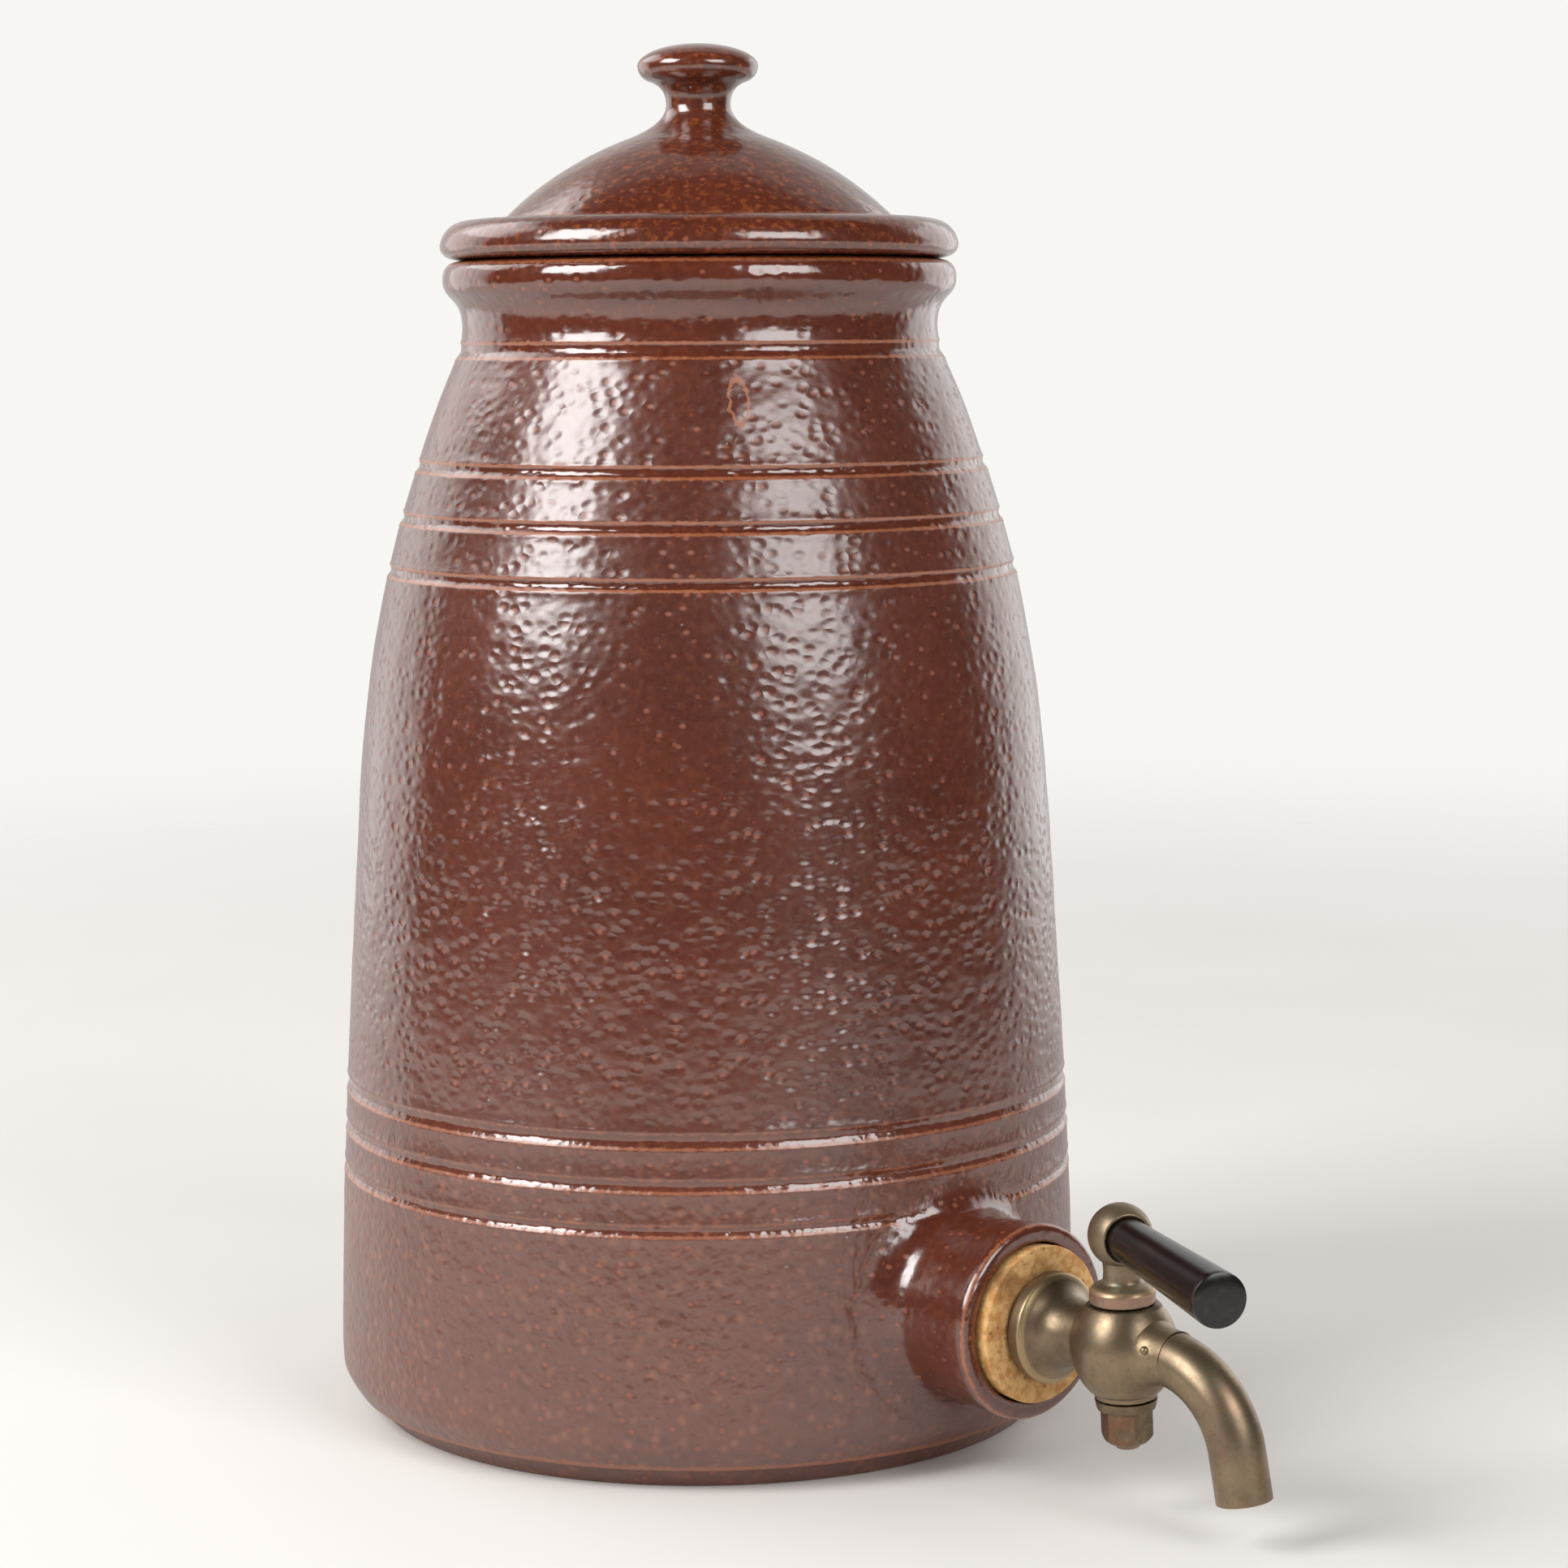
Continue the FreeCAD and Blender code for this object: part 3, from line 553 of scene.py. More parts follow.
ROOT = [root_ring(step) for step in range(ROOT_STEPS + 1)]
boss_points = [Vector((p.x, BELLY_R + p.y)) for p in [Vector((SKIRT_R, 0))] + ROOT] + outline(
    (BOSS_WAIST_R, 92.4), ((BOSS_WAIST_R, 97.0), (20.7, 99.5), (20.7, 103.2)),
    ((20.7, 104.4), (20.2, 105.0), (19.1, BOSS_FACE)), (17.5, BOSS_FACE),
    ((17.1, BOSS_FACE), (16.9, 104.9), (16.85, 104.5)), spacing=0.9)
boss_points += outline((16.85, 104.5), (15.05, 76.2), spacing=4)[1:]
boss = turned("tap_boss", boss_points, BOSS_STEPS)
lay_along_tap(boss)


def press_on(obj, target, name, test):
    """Slide the picked points along the tap's line till they touch the target."""
    edit(obj)
    pick(obj, test)
    leave_edit()
    group = obj.vertex_groups.new(name=name)
    group.add([v.index for v in obj.data.vertices if v.select], 1.0, "REPLACE")
    modify(obj, "SHRINKWRAP", target=target, vertex_group=name, wrap_method="PROJECT", use_project_y=True,
           use_negative_direction=True)
    keep_modifiers(obj)
    obj.vertex_groups.clear()


ROOT_HIGH = BELLY_R + ROOT_ROUND + 1.0
press_on(boss, pot, "root", lambda p: -p.y < ROOT_HIGH and off_line(p) > BOSS_WAIST_R - 0.05)
press_on(boss, pot, "throat", lambda p: -p.y < THROAT)
for ring in ROOT:
    edit(boss)
    pick(boss, lambda p: abs(off_line(p) - ring.x) < 0.02 and -p.y < BELLY_R + 0.5)
    bpy.ops.transform.translate(value=(0, -ring.y * MM, 0))
    leave_edit()
report(boss)

# %% Cut the wall away behind it and bridge the edges
MID_WALL_R = 79.5       # between the inner and the outer side of the wall
HOLES = ((True, SKIRT_R + 1.0), (False, 18.0))      # outer side or inner, radius

edit(pot)
for outer, reach in HOLES:
    pick(pot, lambda p: off_line(p) < reach and p.y < 0 and (off_axis(p) > MID_WALL_R) == outer, "FACE")
    bpy.ops.mesh.delete(type="FACE")
leave_edit()
only(pot)
boss.select_set(True)
bpy.ops.object.join()
edit(pot)
for outer, _ in HOLES:
    pick(pot, lambda p: (off_axis(p) > MID_WALL_R) == outer, "EDGE")
    bpy.ops.mesh.bridge_edge_loops()
face_outwards()
bpy.ops.mesh.select_all(action="DESELECT")
bpy.ops.mesh.select_mode(type="EDGE")
bpy.ops.mesh.select_non_manifold()
leave_edit()
print("open edges left:", sum(e.select for e in pot.data.edges))
report(pot)

# %% [markdown]
# ## Lumps from the potter's hands
# Hand-thrown clay is never quite true. Slow lumps are pressed in the surface, only inwards, so that the pot
# stays inside its measured size, and less and less towards the foot, the rim and the hole for the cork.

# %% Lumps
def between(value, low, high):
    """0 below low, 1 above high, and an even rise between them."""
    return min(1.0, max(0.0, (value - low) / (high - low)))


def lump(obj, size, depth, weight_of):
    """Press lumps of a size in the surface, at most this deep, where weight_of a place is not 0."""
    group = obj.vertex_groups.new(name="lumps")
    steps = {}
    for v in obj.data.vertices:
        steps.setdefault(round(weight_of(v.co / MM), 1), []).append(v.index)
    for weight, points in steps.items():
        group.add(points, weight, "REPLACE")
    clouds = bpy.data.textures.new("lumps", "CLOUDS")
    clouds.noise_scale = size * MM
    modify(obj, "DISPLACE", texture=clouds, vertex_group=group.name, strength=depth * MM, mid_level=1.0)
    keep_modifiers(obj)
    obj.vertex_groups.clear()


def pot_lumps(p):
    """Half as much on the boss as on the wall, and nothing inside."""
    if off_line(p) < SKIRT_R and p.y < -80:
        return 0.5 * between(-p.y, BOSS_FACE, BOSS_FACE - 4) * between(off_line(p), 17, 19)
    if off_axis(p) < wall_radius(min(p.z, NECK_Z)) - 3:
        return 0.0
    return between(p.z, 12, 26) * between(p.z, 244, 230)


lump(pot, 26.0, 0.55, pot_lumps)
lump(pot, 9.0, 0.16, pot_lumps)

# %% [markdown]
# ## The lid
# The lid is thrown upside down, turned, and has a ring below that drops in the mouth. Its dome is drawn up
# to a stem, and the knob is a flattened ball with a soft lower edge.

# %% Throw the lid
LID_STEPS = 280


def swell(a, b, rise):
    """A step from a to b that stands off its straight line by rise, to the right."""
    a, b = Vector(a), Vector(b)
    way = b - a
    side = Vector((way.y, -way.x)).normalized()
    return (a + b) / 2 + 2 * rise * side, b


def lid_outline():
    edge = outline(
        (45.6, 0), (53.0, 0), ((57.5, 0.2), (57.5, 3.25)), swell((57.5, 3.25), (51.7, 8.8), 1.4),
        (43.9, 8.8), ((43.1, 8.85), (42.9, 9.5)), swell((42.9, 9.5), (16.6, 26.3), 1.6), spacing=1.1)
    knob = outline(
        (16.6, 26.3), ((7.25, 29.57), (7.25, 33.9)), ((7.25, 37.6), (10.7, 38.75)),
        swell((10.7, 38.75), (13.5, 42.2), 0.75), ((13.5, 44.96), (7.46, 47.2), (0, 47.2)), spacing=0.8)
    hollow = outline((0, 21.6), ((22, 21.6), (36, 12), (40.0, 1.0)), (40.0, -6.0), spacing=4)
    ring = outline(
        (40.0, -6.0), ((40.2, -8.0), (42.8, -8.0)), ((45.4, -8.0), (45.6, -6.0)), (45.6, 0), spacing=1.0)
    return [Vector((p.x, p.y + MOUTH_Z)) for p in edge + knob[1:] + hollow + ring[1:]]


def lid_lumps(p):
    """On the dome and the stem, and less towards the flange and the middle of the knob."""
    return between(p.z, 262.5, 267) * between(p.z, 304.5, 300) * between(off_axis(p) ** 2, 1, 16)


lid = turned("thrown_lid", lid_outline(), LID_STEPS)
lump(lid, 16.0, 0.35, lid_lumps)
report(lid)

# %% [markdown]
# ## The cork
# The bung is cut from cork and sanded to a taper. Its end shows the pores and crumbs that turning leaves.

# %% Turn the cork
CORK_STEPS = 200

cork = turned("turned_cork", outline(
    (5.59, 81.5), (15.2, 81.5), (16.45, 105.5), (16.57, 106.8), ((16.6, 107.5), (15.9, 107.5)),
    (6.5, 107.5), (5.59, 81.5), spacing=0.55), CORK_STEPS)
lay_along_tap(cork)
report(cork)

# %% [markdown]
# ## Casting the tap
# The body is a sand casting: a trumpet with a flange grows out of a barrel-shaped bulb. Both are turned,
# joined, bored, and then melted into one skin by a fine voxel remesh, which leaves the small fillets that a
# mould does. All of the tap is leaned a little about its own line, as it was pushed in.

# %% Helpers for cast and bored pieces
PLUG_AXIS = 130.5
TAP_LEAN = 3.2
HANDLE_TURN = 24.8
BALL_Z = 59.3
SLIVER = 0.01                # points of a cut that lie closer than this are one point
OFF_EDGE = 1.3               # bars are turned by this much, so that no edge falls on another


def combine(obj, tool, operation):
    """Join a tool's solid to a piece, or cut it away, and throw the tool away."""
    modify(obj, "BOOLEAN", operation=operation, object=tool, solver="MANIFOLD")
    keep_modifiers(obj)
    bpy.data.objects.remove(tool)
    edit(obj)
    bpy.ops.mesh.remove_doubles(threshold=SLIVER * MM)
    leave_edit()


def melt(obj, grain_size, passes):
    """Make one skin of everything in a piece, and smooth it a little."""
    modify(obj, "REMESH", mode="VOXEL", voxel_size=grain_size * MM)
    modify(obj, "SMOOTH", factor=0.5, iterations=passes)
    keep_modifiers(obj)


def bar(radius, low, high):
    """A round bar about +Z, for bores and for studs."""
    solid = turned("bar", outline((0, low), (radius, low), (radius, high), (0, high), spacing=500), 64)
    turn_about(solid, OFF_EDGE, "Z")
    return solid


def stand_on_plug(obj):
    shift(obj, 0, -PLUG_AXIS, TAP_Z)


def lay_along_handle(obj, height=BALL_Z):
    turn_about(obj, 90, "X")
    turn_about(obj, -HANDLE_TURN, "Z")
    shift(obj, 0, -PLUG_AXIS, height)


def lean(obj):
    """Lean a piece of the tap about the tap's line."""
    turn_about(obj, -TAP_LEAN, "Y", (0, 0, TAP_Z))


# %% Tap body
TAP_BORES = ((3.2, 118, 139), (5.75, 137.5, 145))       # waterway and the spout's socket: radius, from, to

tap = turned("cast_tap", outline(
    (3.3, 76.0), (5.5, 76.0), (6.6, 107.5), (10.7, 107.5), (11.6, 108.7), (11.6, 111.3), (11.1, 111.8),
    ((7.6, 113.3), (6.9, 116.0), (6.7, 119.2)), (6.7, PLUG_AXIS), (3.3, PLUG_AXIS), (3.3, 76.0),
    spacing=1.2))
lay_along_tap(tap)
bulb = turned("bulb", outline(
    (0, -10.6), (6.42, -10.6), (6.5, -9.2), (7.19, -9.2), ((9.5, -6.9), (11.0, -3.4), (11.0, 0)),
    ((11.0, 3.4), (9.5, 6.9), (7.19, 9.2)), (0, 9.2), spacing=1.2))
stand_on_plug(bulb)
combine(tap, bulb, "UNION")
seat = turned("seat", outline((0, -11.6), (3.8, -11.6), (5.15, 10.2), (0, 10.2), spacing=50))
stand_on_plug(seat)
combine(tap, seat, "DIFFERENCE")
for measures in TAP_BORES:
    bore = bar(*measures)
    lay_along_tap(bore)
    combine(tap, bore, "DIFFERENCE")
melt(tap, 0.32, 4)
lean(tap)
report(tap)

# %% [markdown]
# ## Spout and braze
# The spout is a brass tube, bent and brazed in the bulb. A ring is extruded, spun round the centre of the
# bend and extruded again, and gets its wall afterwards.

# %% Bend the spout
SPOUT_R = 5.75
SPOUT_WALL = 1.25
SPOUT_START = 137.5
BEND_START = 141.7
BEND_R = 19.0
BEND = 81.0
TAIL = 9.8

bpy.ops.mesh.primitive_circle_add(
    vertices=96, radius=SPOUT_R * MM, location=(0, -SPOUT_START * MM, TAP_Z * MM),
    rotation=(math.radians(90), 0, 0))
spout = bpy.context.object
spout.name = "bent_spout"
bpy.ops.object.transform_apply(location=True, rotation=True, scale=True)


def extrude(way, times):
    for _ in range(times):
        bpy.ops.mesh.extrude_region_move(TRANSFORM_OT_translate={"value": Vector(way) * MM / times})


edit(spout)
bpy.ops.mesh.select_mode(type="VERT")
bpy.ops.mesh.select_all(action="SELECT")
extrude((0, SPOUT_START - BEND_START, 0), 4)
bpy.ops.mesh.spin(steps=40, angle=math.radians(BEND),
                  center=(0, -BEND_START * MM, (TAP_Z - BEND_R) * MM), axis=(-1, 0, 0))
down = Vector((0, -math.cos(math.radians(BEND)), -math.sin(math.radians(BEND))))
extrude(down * TAIL, 8)
face_outwards()
leave_edit()
modify(spout, "SOLIDIFY", thickness=SPOUT_WALL * MM, offset=-1)
modify(spout, "BEVEL", width=0.25 * MM, segments=3, limit_method="ANGLE")
keep_modifiers(spout)
lean(spout)
report(spout)

# %% Braze round the spout's root
BEAD_R = 0.9
BEAD_PLACE = Vector((-5.62, -141.4, TAP_Z + 2.6))

braze = turned("braze_fillet", outline(
    (5.7, 137.5), (8.3, 137.5), ((6.3, 139.6), (6.0, 141.5), (5.82, 145.0)), (5.7, 145.0), (5.7, 137.5),
    spacing=0.5))
lay_along_tap(braze)
bpy.ops.mesh.primitive_uv_sphere_add(segments=24, ring_count=16, radius=BEAD_R * MM,
                                     location=BEAD_PLACE * MM)
combine(braze, bpy.context.object, "UNION")
lean(braze)
report(braze)

# %% [markdown]
# ## The plug
# The plug is a tapered key with a port through it. Above the bulb it has a collar, a waisted neck and a ball
# that holds the grip. Below, a square carries the washer and a stud carries the nut.

# %% Turn the plug
SQUARE = 5.2
GRIP_BORES = ((9.0, 4.1, 12), (4.8, 3.2, 12))       # the ball's flat and the grip's seat: radius, from, to

plug = turned("turned_plug", outline(
    (0, -10.1), (3.74, -10.1), (4.9, 9.4), (6.75, 9.45), (6.75, 11.95), ((6.2, 13.0), (4.55, 13.45)),
    ((3.75, 13.45), (3.75, 15.8)), ((3.75, 16.9), (3.88, 17.9)), ((5.4, 18.96), (6.65, 20.9), (6.65, 23.3)),
    ((6.65, 26.97), (3.67, 29.95), (0, 29.95)), spacing=0.8))
stand_on_plug(plug)
bpy.ops.mesh.primitive_cube_add(size=SQUARE * MM, location=(0, -PLUG_AXIS * MM, (TAP_Z - 11) * MM))
combine(plug, bpy.context.object, "UNION")
stud = bar(2.5, -21.2, -12)
stand_on_plug(stud)
combine(plug, stud, "UNION")
port = bar(2.9, -8, 8)
lay_along_handle(port, TAP_Z)
combine(plug, port, "DIFFERENCE")
for measures in GRIP_BORES:
    bore = bar(*measures)
    lay_along_handle(bore)
    combine(plug, bore, "DIFFERENCE")
melt(plug, 0.2, 3)
lean(plug)
report(plug)

# %% Washer and nut
washer = turned("square_washer", outline(
    (0, -10.85), (6.42, -10.85), (6.16, -12.25), ((6.16, -13.05), (5.36, -13.05)), (0, -13.05),
    spacing=0.6))
bpy.ops.mesh.primitive_cube_add(size=(SQUARE + 0.1) * MM, location=(0, 0, -12 * MM))
combine(washer, bpy.context.object, "DIFFERENCE")
stand_on_plug(washer)
lean(washer)

NUT_AF = 9.5
NUT_CORNER = NUT_AF / math.sqrt(3)
NUT_LOW = -20.25
NUT_TOP = -13.05
bpy.ops.mesh.primitive_cylinder_add(vertices=6, radius=NUT_CORNER * MM, depth=(NUT_TOP - NUT_LOW) * MM,
                                    location=(0, 0, (NUT_TOP + NUT_LOW) / 2 * MM))
nut = bpy.context.object
nut.name = "domed_nut"
bpy.ops.object.transform_apply(location=True, rotation=True, scale=True)
turn_about(nut, 30, "Z")
dome = turned("dome", outline((0, NUT_LOW), (3.6, NUT_LOW), ((4.8, -19.7), (NUT_CORNER, -18.35)),
                              (NUT_CORNER, -12), (0, -12), spacing=0.5))
combine(nut, dome, "INTERSECT")
combine(nut, bar(2.55, -22, -12), "DIFFERENCE")
stand_on_plug(nut)
melt(nut, 0.16, 2)
lean(nut)
report(nut)

# %% [markdown]
# ## The grip
# A tapered grip of black hard rubber, seated in the ball and held by a steel pin. Its end is faintly domed.

# %% Turn the grip
grip = turned("ebonite_grip", outline(
    (2.05, 3.2), (4.45, 3.2), (5.62, 50.3), ((5.64, 50.95), (5.05, 51.0)), ((3.0, 51.45), (0, 51.5)),
    (0, 33.2), (2.05, 33.2), (2.05, 3.2), spacing=1.2))
lay_along_handle(grip)
lean(grip)
report(grip)

# %% [markdown]
# ## Shared effects
# Two effects are used by more than one finish: salt glaze on the pot and its lid, and the skin that brass
# gets with age. Each is a node group with named inputs, placed in each material with its own values. Heights
# come out in millimetres and go into a Bump node whose distance is one millimetre.

# %% Node groups and painted values
def effect(name, inputs, outputs):
    """Start a node group from input names with their defaults, and output names."""
    tree = bpy.data.node_groups.new(name, "ShaderNodeTree")
    for title, value in inputs.items():
        kind = "NodeSocketFloat" if isinstance(value, float) else "NodeSocketVector"
        tree.interface.new_socket(name=title, in_out="INPUT", socket_type=kind).default_value = value
    for title in outputs:
        kind = "NodeSocketColor" if title == "Color" else "NodeSocketFloat"
        tree.interface.new_socket(name=title, in_out="OUTPUT", socket_type=kind)
    given = tree.nodes.new("NodeGroupInput").outputs
    result = tree.nodes.new("NodeGroupOutput").inputs
    return tree, given, result


def use(tree, group, **inputs):
    """Place a node group in a material."""
    node = tree.nodes.new("ShaderNodeGroup")
    node.node_tree = group
    give(tree, node.inputs, **inputs)
    return node.outputs


def surface(tree, skin, color, roughness, height):
    """Feed a material's surface. Its height is given in millimetres."""
    bump = put(tree, "Bump", Height=height, Distance=MM, Strength=1.0)
    give(tree, skin, Base_Color=color, Roughness=roughness, Normal=bump.outputs["Normal"])


def paint(obj, name, value_of):
    """Give each point of a mesh a value worked out from its place in millimetres."""
    layer = obj.data.attributes.new(name, "FLOAT", "POINT")
    layer.data.foreach_set("value", [value_of(v.co / MM) for v in obj.data.vertices])


def painted(tree, name):
    return put(tree, "Attribute", {"attribute_name": name}).outputs["Fac"]


def flatter(tree, vector, squash):
    """Coordinates in which a pattern comes out wider than tall."""
    return put(tree, "Mapping", Vector=vector, Scale=(1, 1, squash)).outputs[0]


def total(tree, *values):
    """Sum of several values."""
    result = values[0]
    for value in values[1:]:
        result = math_of(tree, "ADD", result, value)
    return result


def scaled(tree, value, by):
    return math_of(tree, "MULTIPLY", value, by)


def swing(tree, value, by):
    """A 0 to 1 pattern as a swing about nothing, this large from end to end."""
    return scaled(tree, math_of(tree, "SUBTRACT", value, 0.5), by)


def coated(tree, color, *coats):
    """Lay coats over a colour. Each is where it lies, how strongly, and its own colour."""
    for where, strength, tone in coats:
        color = blend_colors(tree, scaled(tree, where, strength), color, tone)
    return color


# %% [markdown]
# ## Salt glaze
# Salt thrown in a hot kiln settles on the clay as a thin brown glass. It draws together like the skin of an
# orange, leaves small pits with rusty cores, and runs off every edge, where the clay burns to rust. The pits
# are painted darker as well, as painted shade. How thin it lies, how strongly it draws together, and how
# satin it is are painted on the mesh, because they follow the shape, and so is a painted sheen that lightens
# the glaze near the foot.

# %% Salt glaze
def make_salt_glaze():
    tree, given, result = effect("salt_glaze", {
        "Place": (0.0, 0.0, 0.0), "Thin": 0.0, "Peel": 1.0, "Warm": 0.0, "Satin": 0.2,
        "Bloom": 0.1, "Depth": 1.0, "SheenAndGrain": 0.0,
    }, ("Color", "Roughness", "Height"))
    place, thin, peel = given["Place"], given["Thin"], given["Peel"]
    flat = flatter(tree, place, 1.3)
    swell = noise(tree, flat, 150, 0.0)
    ripple = noise(tree, flat, 400, 0.0)
    pits = spots(tree, flat, 300, 0.60, 1.0, 0.0)
    cores = spots(tree, flat, 300, 0.30, 0.65, 0.2)
    bloom = spots(tree, place, 320, 0.50, 0.70, 0.0)
    freckles = spots(tree, place, 430, 0.20, 0.22)
    ash = spots(tree, place, 140, 0.055, 0.12)
    patches = spread(tree, noise(tree, place, 26, 3.0), 0.35, 0.65)
    mottle = noise(tree, place, 620, 3.0, 0.6)
    grain = noise(tree, place, 2300, 1.0)
    orange = spread(tree, noise(tree, place, 560, 2.0, 0.6), 0.50, 0.68)
    ragged = total(tree, thin, swing(tree, noise(tree, place, 520, 2.0, 0.7), 0.8))
    rust = spread(tree, ragged, 0.38, 0.72)
    color = coated(
        tree, blend_colors(tree, patches, rgb(68, 27, 17), rgb(82, 35, 22)),
        (mottle, 0.42, rgb(110, 57, 40)),
        # This coat is a painted sheen: it lightens the glaze near the foot, standing in for the floor's
        # reflection.
        (given["SheenAndGrain"], 0.20, rgb(126, 84, 70)),
        (orange, given["Warm"], rgb(142, 74, 36)),
        # The pits are painted darker, as painted shade in their hollows.
        (pits, 0.38, rgb(60, 26, 18)),
        (freckles, 0.40, rgb(146, 76, 42)),
        (bloom, given["Bloom"], rgb(150, 92, 62)),
        (cores, 0.60, rgb(150, 72, 38)),
        (rust, 0.85, blend_colors(tree, mottle, rgb(124, 60, 31), rgb(164, 98, 60))),
        (ash, 0.7, rgb(150, 158, 162)))
    roughness = total(
        tree, given["Satin"], swing(tree, mottle, 0.10), scaled(tree, rust, 0.18), scaled(tree, cores, 0.2))
    dimples = scaled(tree, math_of(tree, "MULTIPLY", pits, given["Depth"]), -0.11)
    drawn = scaled(tree, total(tree, swing(tree, swell, 0.21), swing(tree, ripple, 0.12), dimples), peel)
    sand = scaled(tree, swing(tree, noise(tree, place, 480, 1.0), 0.34), given["SheenAndGrain"])
    height = total(
        tree, drawn, sand, swing(tree, mottle, 0.012), swing(tree, grain, 0.004), scaled(tree, ash, 0.02))
    give(tree, result, Color=color, Roughness=roughness, Height=height)
    return tree


salt_glaze = make_salt_glaze()

# %% How the glaze changes over the pot
PEEL = ((72, 0.6), (88, 1.0), (228, 1.0), (240, 0.5))       # height in millimetres, value
PIT_DEPTH = ((40, 1.2), (70, 0.9), (86, 1.8), (115, 1.8), (145, 1.3), (180, 1.35))
SATIN = (
    (48, 0.33), (70, 0.32), (90, 0.27), (115, 0.22), (150, 0.22), (190, 0.27), (232, 0.25), (246, 0.13),
)
EDGES = [edge for channel in CHANNELS for edge in channel]
FAINT_EDGES = (76.7, 67.1, 57.5)


def near(value, middle, reach):
    """1 at the middle, falling to 0 at a reach from it."""
    return max(0.0, 1 - abs(value - middle) / reach)


def from_table(value, table):
    for (a, at_a), (b, at_b) in zip(table, table[1:]):
        if value < b:
            return at_a + (at_b - at_a) * between(value, a, b)
    return table[-1][1]


def on_boss(p):
    if p.y > -80 or off_line(p) > SKIRT_R:
        return False
    return off_axis(p) > wall_radius(max(HEEL_Z, p.z)) + 0.15


def pot_thin(p):
    """The glaze is thin on the rims of the boss and the pot, at the foot, and on the edges of channels."""
    if on_boss(p):
        return 0.75 * near(-p.y, BOSS_FACE - 0.8, 1.3) * between(off_line(p), 19.0, 20.0)
    if p.z > 250:
        return 0.9 * near(p.z, MOUTH_Z - 1.0, 0.9) * between(off_axis(p), 53, 55)
    if p.z < HEEL_Z + 0.5:
        step = 0.95 * near(p.z, 5.2, 1.6) * between(off_axis(p), 77.5, 78.5)
        # The line where the wall bends into the heel is thin glaze and also a painted highlight of that
        # bend.
        heel = 0.30 * near(p.z, 10.6, 1.2) * between(off_axis(p), 80, 81)
        return max(step, heel)
    if off_axis(p) < wall_radius(min(p.z, NECK_Z)) - 1.5:
        return 0.0
    return max(near(p.z, edge, 0.7) * (0.7 if edge in FAINT_EDGES else 1.0) for edge in EDGES)


def pot_satin(p):
    if on_boss(p):
        return 0.19
    in_channel = any(low - 0.2 < p.z < high + 0.1 for high, low in CHANNELS)
    return 0.15 if in_channel else from_table(p.z, SATIN)


paint(pot, "thin", pot_thin)
paint(pot, "peel", lambda p: 0.60 if on_boss(p) else from_table(p.z, PEEL))
paint(pot, "satin", pot_satin)
# A painted sheen near the foot, which also sets how grainy the glaze is there and how many orange dots it
# has.
paint(pot, "sheen_and_grain", lambda p: 0.0 if on_boss(p) else between(p.z, 95, 55))
paint(pot, "pit_depth", lambda p: from_table(p.z, PIT_DEPTH))

# %% How it changes over the lid
LID_PEEL = ((9, 0.42), (24, 0.4), (30, 0.25))       # height above the mouth, value


def lid_thin(p):
    """The glaze is thin at the root of the dome, on both edges of the flange, and under the knob."""
    radius = off_axis(p)
    z = p.z - MOUTH_Z
    if z < 1 or radius < 5:
        return 0.0
    root = 0.9 * near(z, 9.0, 0.9) * near(radius, 42.6, 2.0)
    low_edge = 0.55 * near(z, 2.4, 0.9) * between(radius, 56, 57)
    high_edge = 0.5 * near(z, 5.2, 1.0) * between(radius, 55, 56)
    under_knob = 0.6 * near(z, 36.6, 0.8)
    return max(root, low_edge, high_edge, under_knob)


def lid_peel(p):
    z = p.z - MOUTH_Z
    return 0.35 if z < LID_PEEL[0][0] else from_table(z, LID_PEEL)


paint(lid, "thin", lid_thin)
paint(lid, "peel", lid_peel)

# %% [markdown]
# ## Glazed pot and lid
# The pot's glaze is most satin near the foot, where the floor shows in it as a haze, and glossiest at the
# rim and in the channels. Near the foot it is also painted paler, as a painted sheen. One thin run of glaze
# came down from the neck and left a rusty outline. The lid stood higher in the kiln's flame and burnt to a
# warmer, more orange brown.

# %% Glaze of the pot and the lid
GLAZE_IOR = 1.9
RUN_PLACE = (-0.0313, -0.0492, 0.2300)
RUN_HALF = 0.0021
RUN_STRETCH = 0.19


def glaze_run(tree, place):
    """Rusty outline of an upright run of glaze."""
    away = math_of(tree, "SUBTRACT", place, RUN_PLACE, kind="VectorMath")
    wobble = swing(tree, noise(tree, place, 420, 2.0), 0.0022)
    reach = total(tree, measure(tree, "LENGTH", flatter(tree, away, RUN_STRETCH)), wobble)
    off_edge = math_of(tree, "ABSOLUTE", math_of(tree, "SUBTRACT", reach, RUN_HALF))
    return spread(tree, off_edge, 0.0, 0.0008, 0.80, 0.0)


def pot_values(tree, place):
    # The painted sheen near the foot also sets how many orange dots lie there.
    sheen_and_grain = painted(tree, "sheen_and_grain")
    thin = math_of(tree, "MAXIMUM", painted(tree, "thin"), glaze_run(tree, place))
    return {"Thin": thin, "Warm": 0.12, "Satin": painted(tree, "satin"), "Depth": painted(tree, "pit_depth"),
            "Bloom": spread(tree, sheen_and_grain, 0.0, 1.0, 0.08, 0.38), "SheenAndGrain": sheen_and_grain}


def lid_values(tree, place):
    return {"Thin": painted(tree, "thin"), "Warm": 0.50, "Satin": 0.16}


def glaze_finish(name, values_of):
    """A material of salt glaze. The other values of the effect come from values_of."""
    material, tree, skin, place = new_material(name)
    give(tree, skin, IOR=GLAZE_IOR)
    glaze = use(tree, salt_glaze, Place=place, Peel=painted(tree, "peel"), **values_of(tree, place))
    surface(tree, skin, glaze["Color"], glaze["Roughness"], glaze["Height"])
    return material


dress(pot, glaze_finish("brown_salt_glaze", pot_values))
dress(lid, glaze_finish("orange_salt_glaze", lid_values))

# %% [markdown]
# ## Cork
# Sanded cork is tan, with darker grains and small torn pores. Years of wet hands have
# left a dark smudge on its upper left.

# %% Cork
SMUDGE_PLACE = (-0.0112, -0.1075, 0.0475)


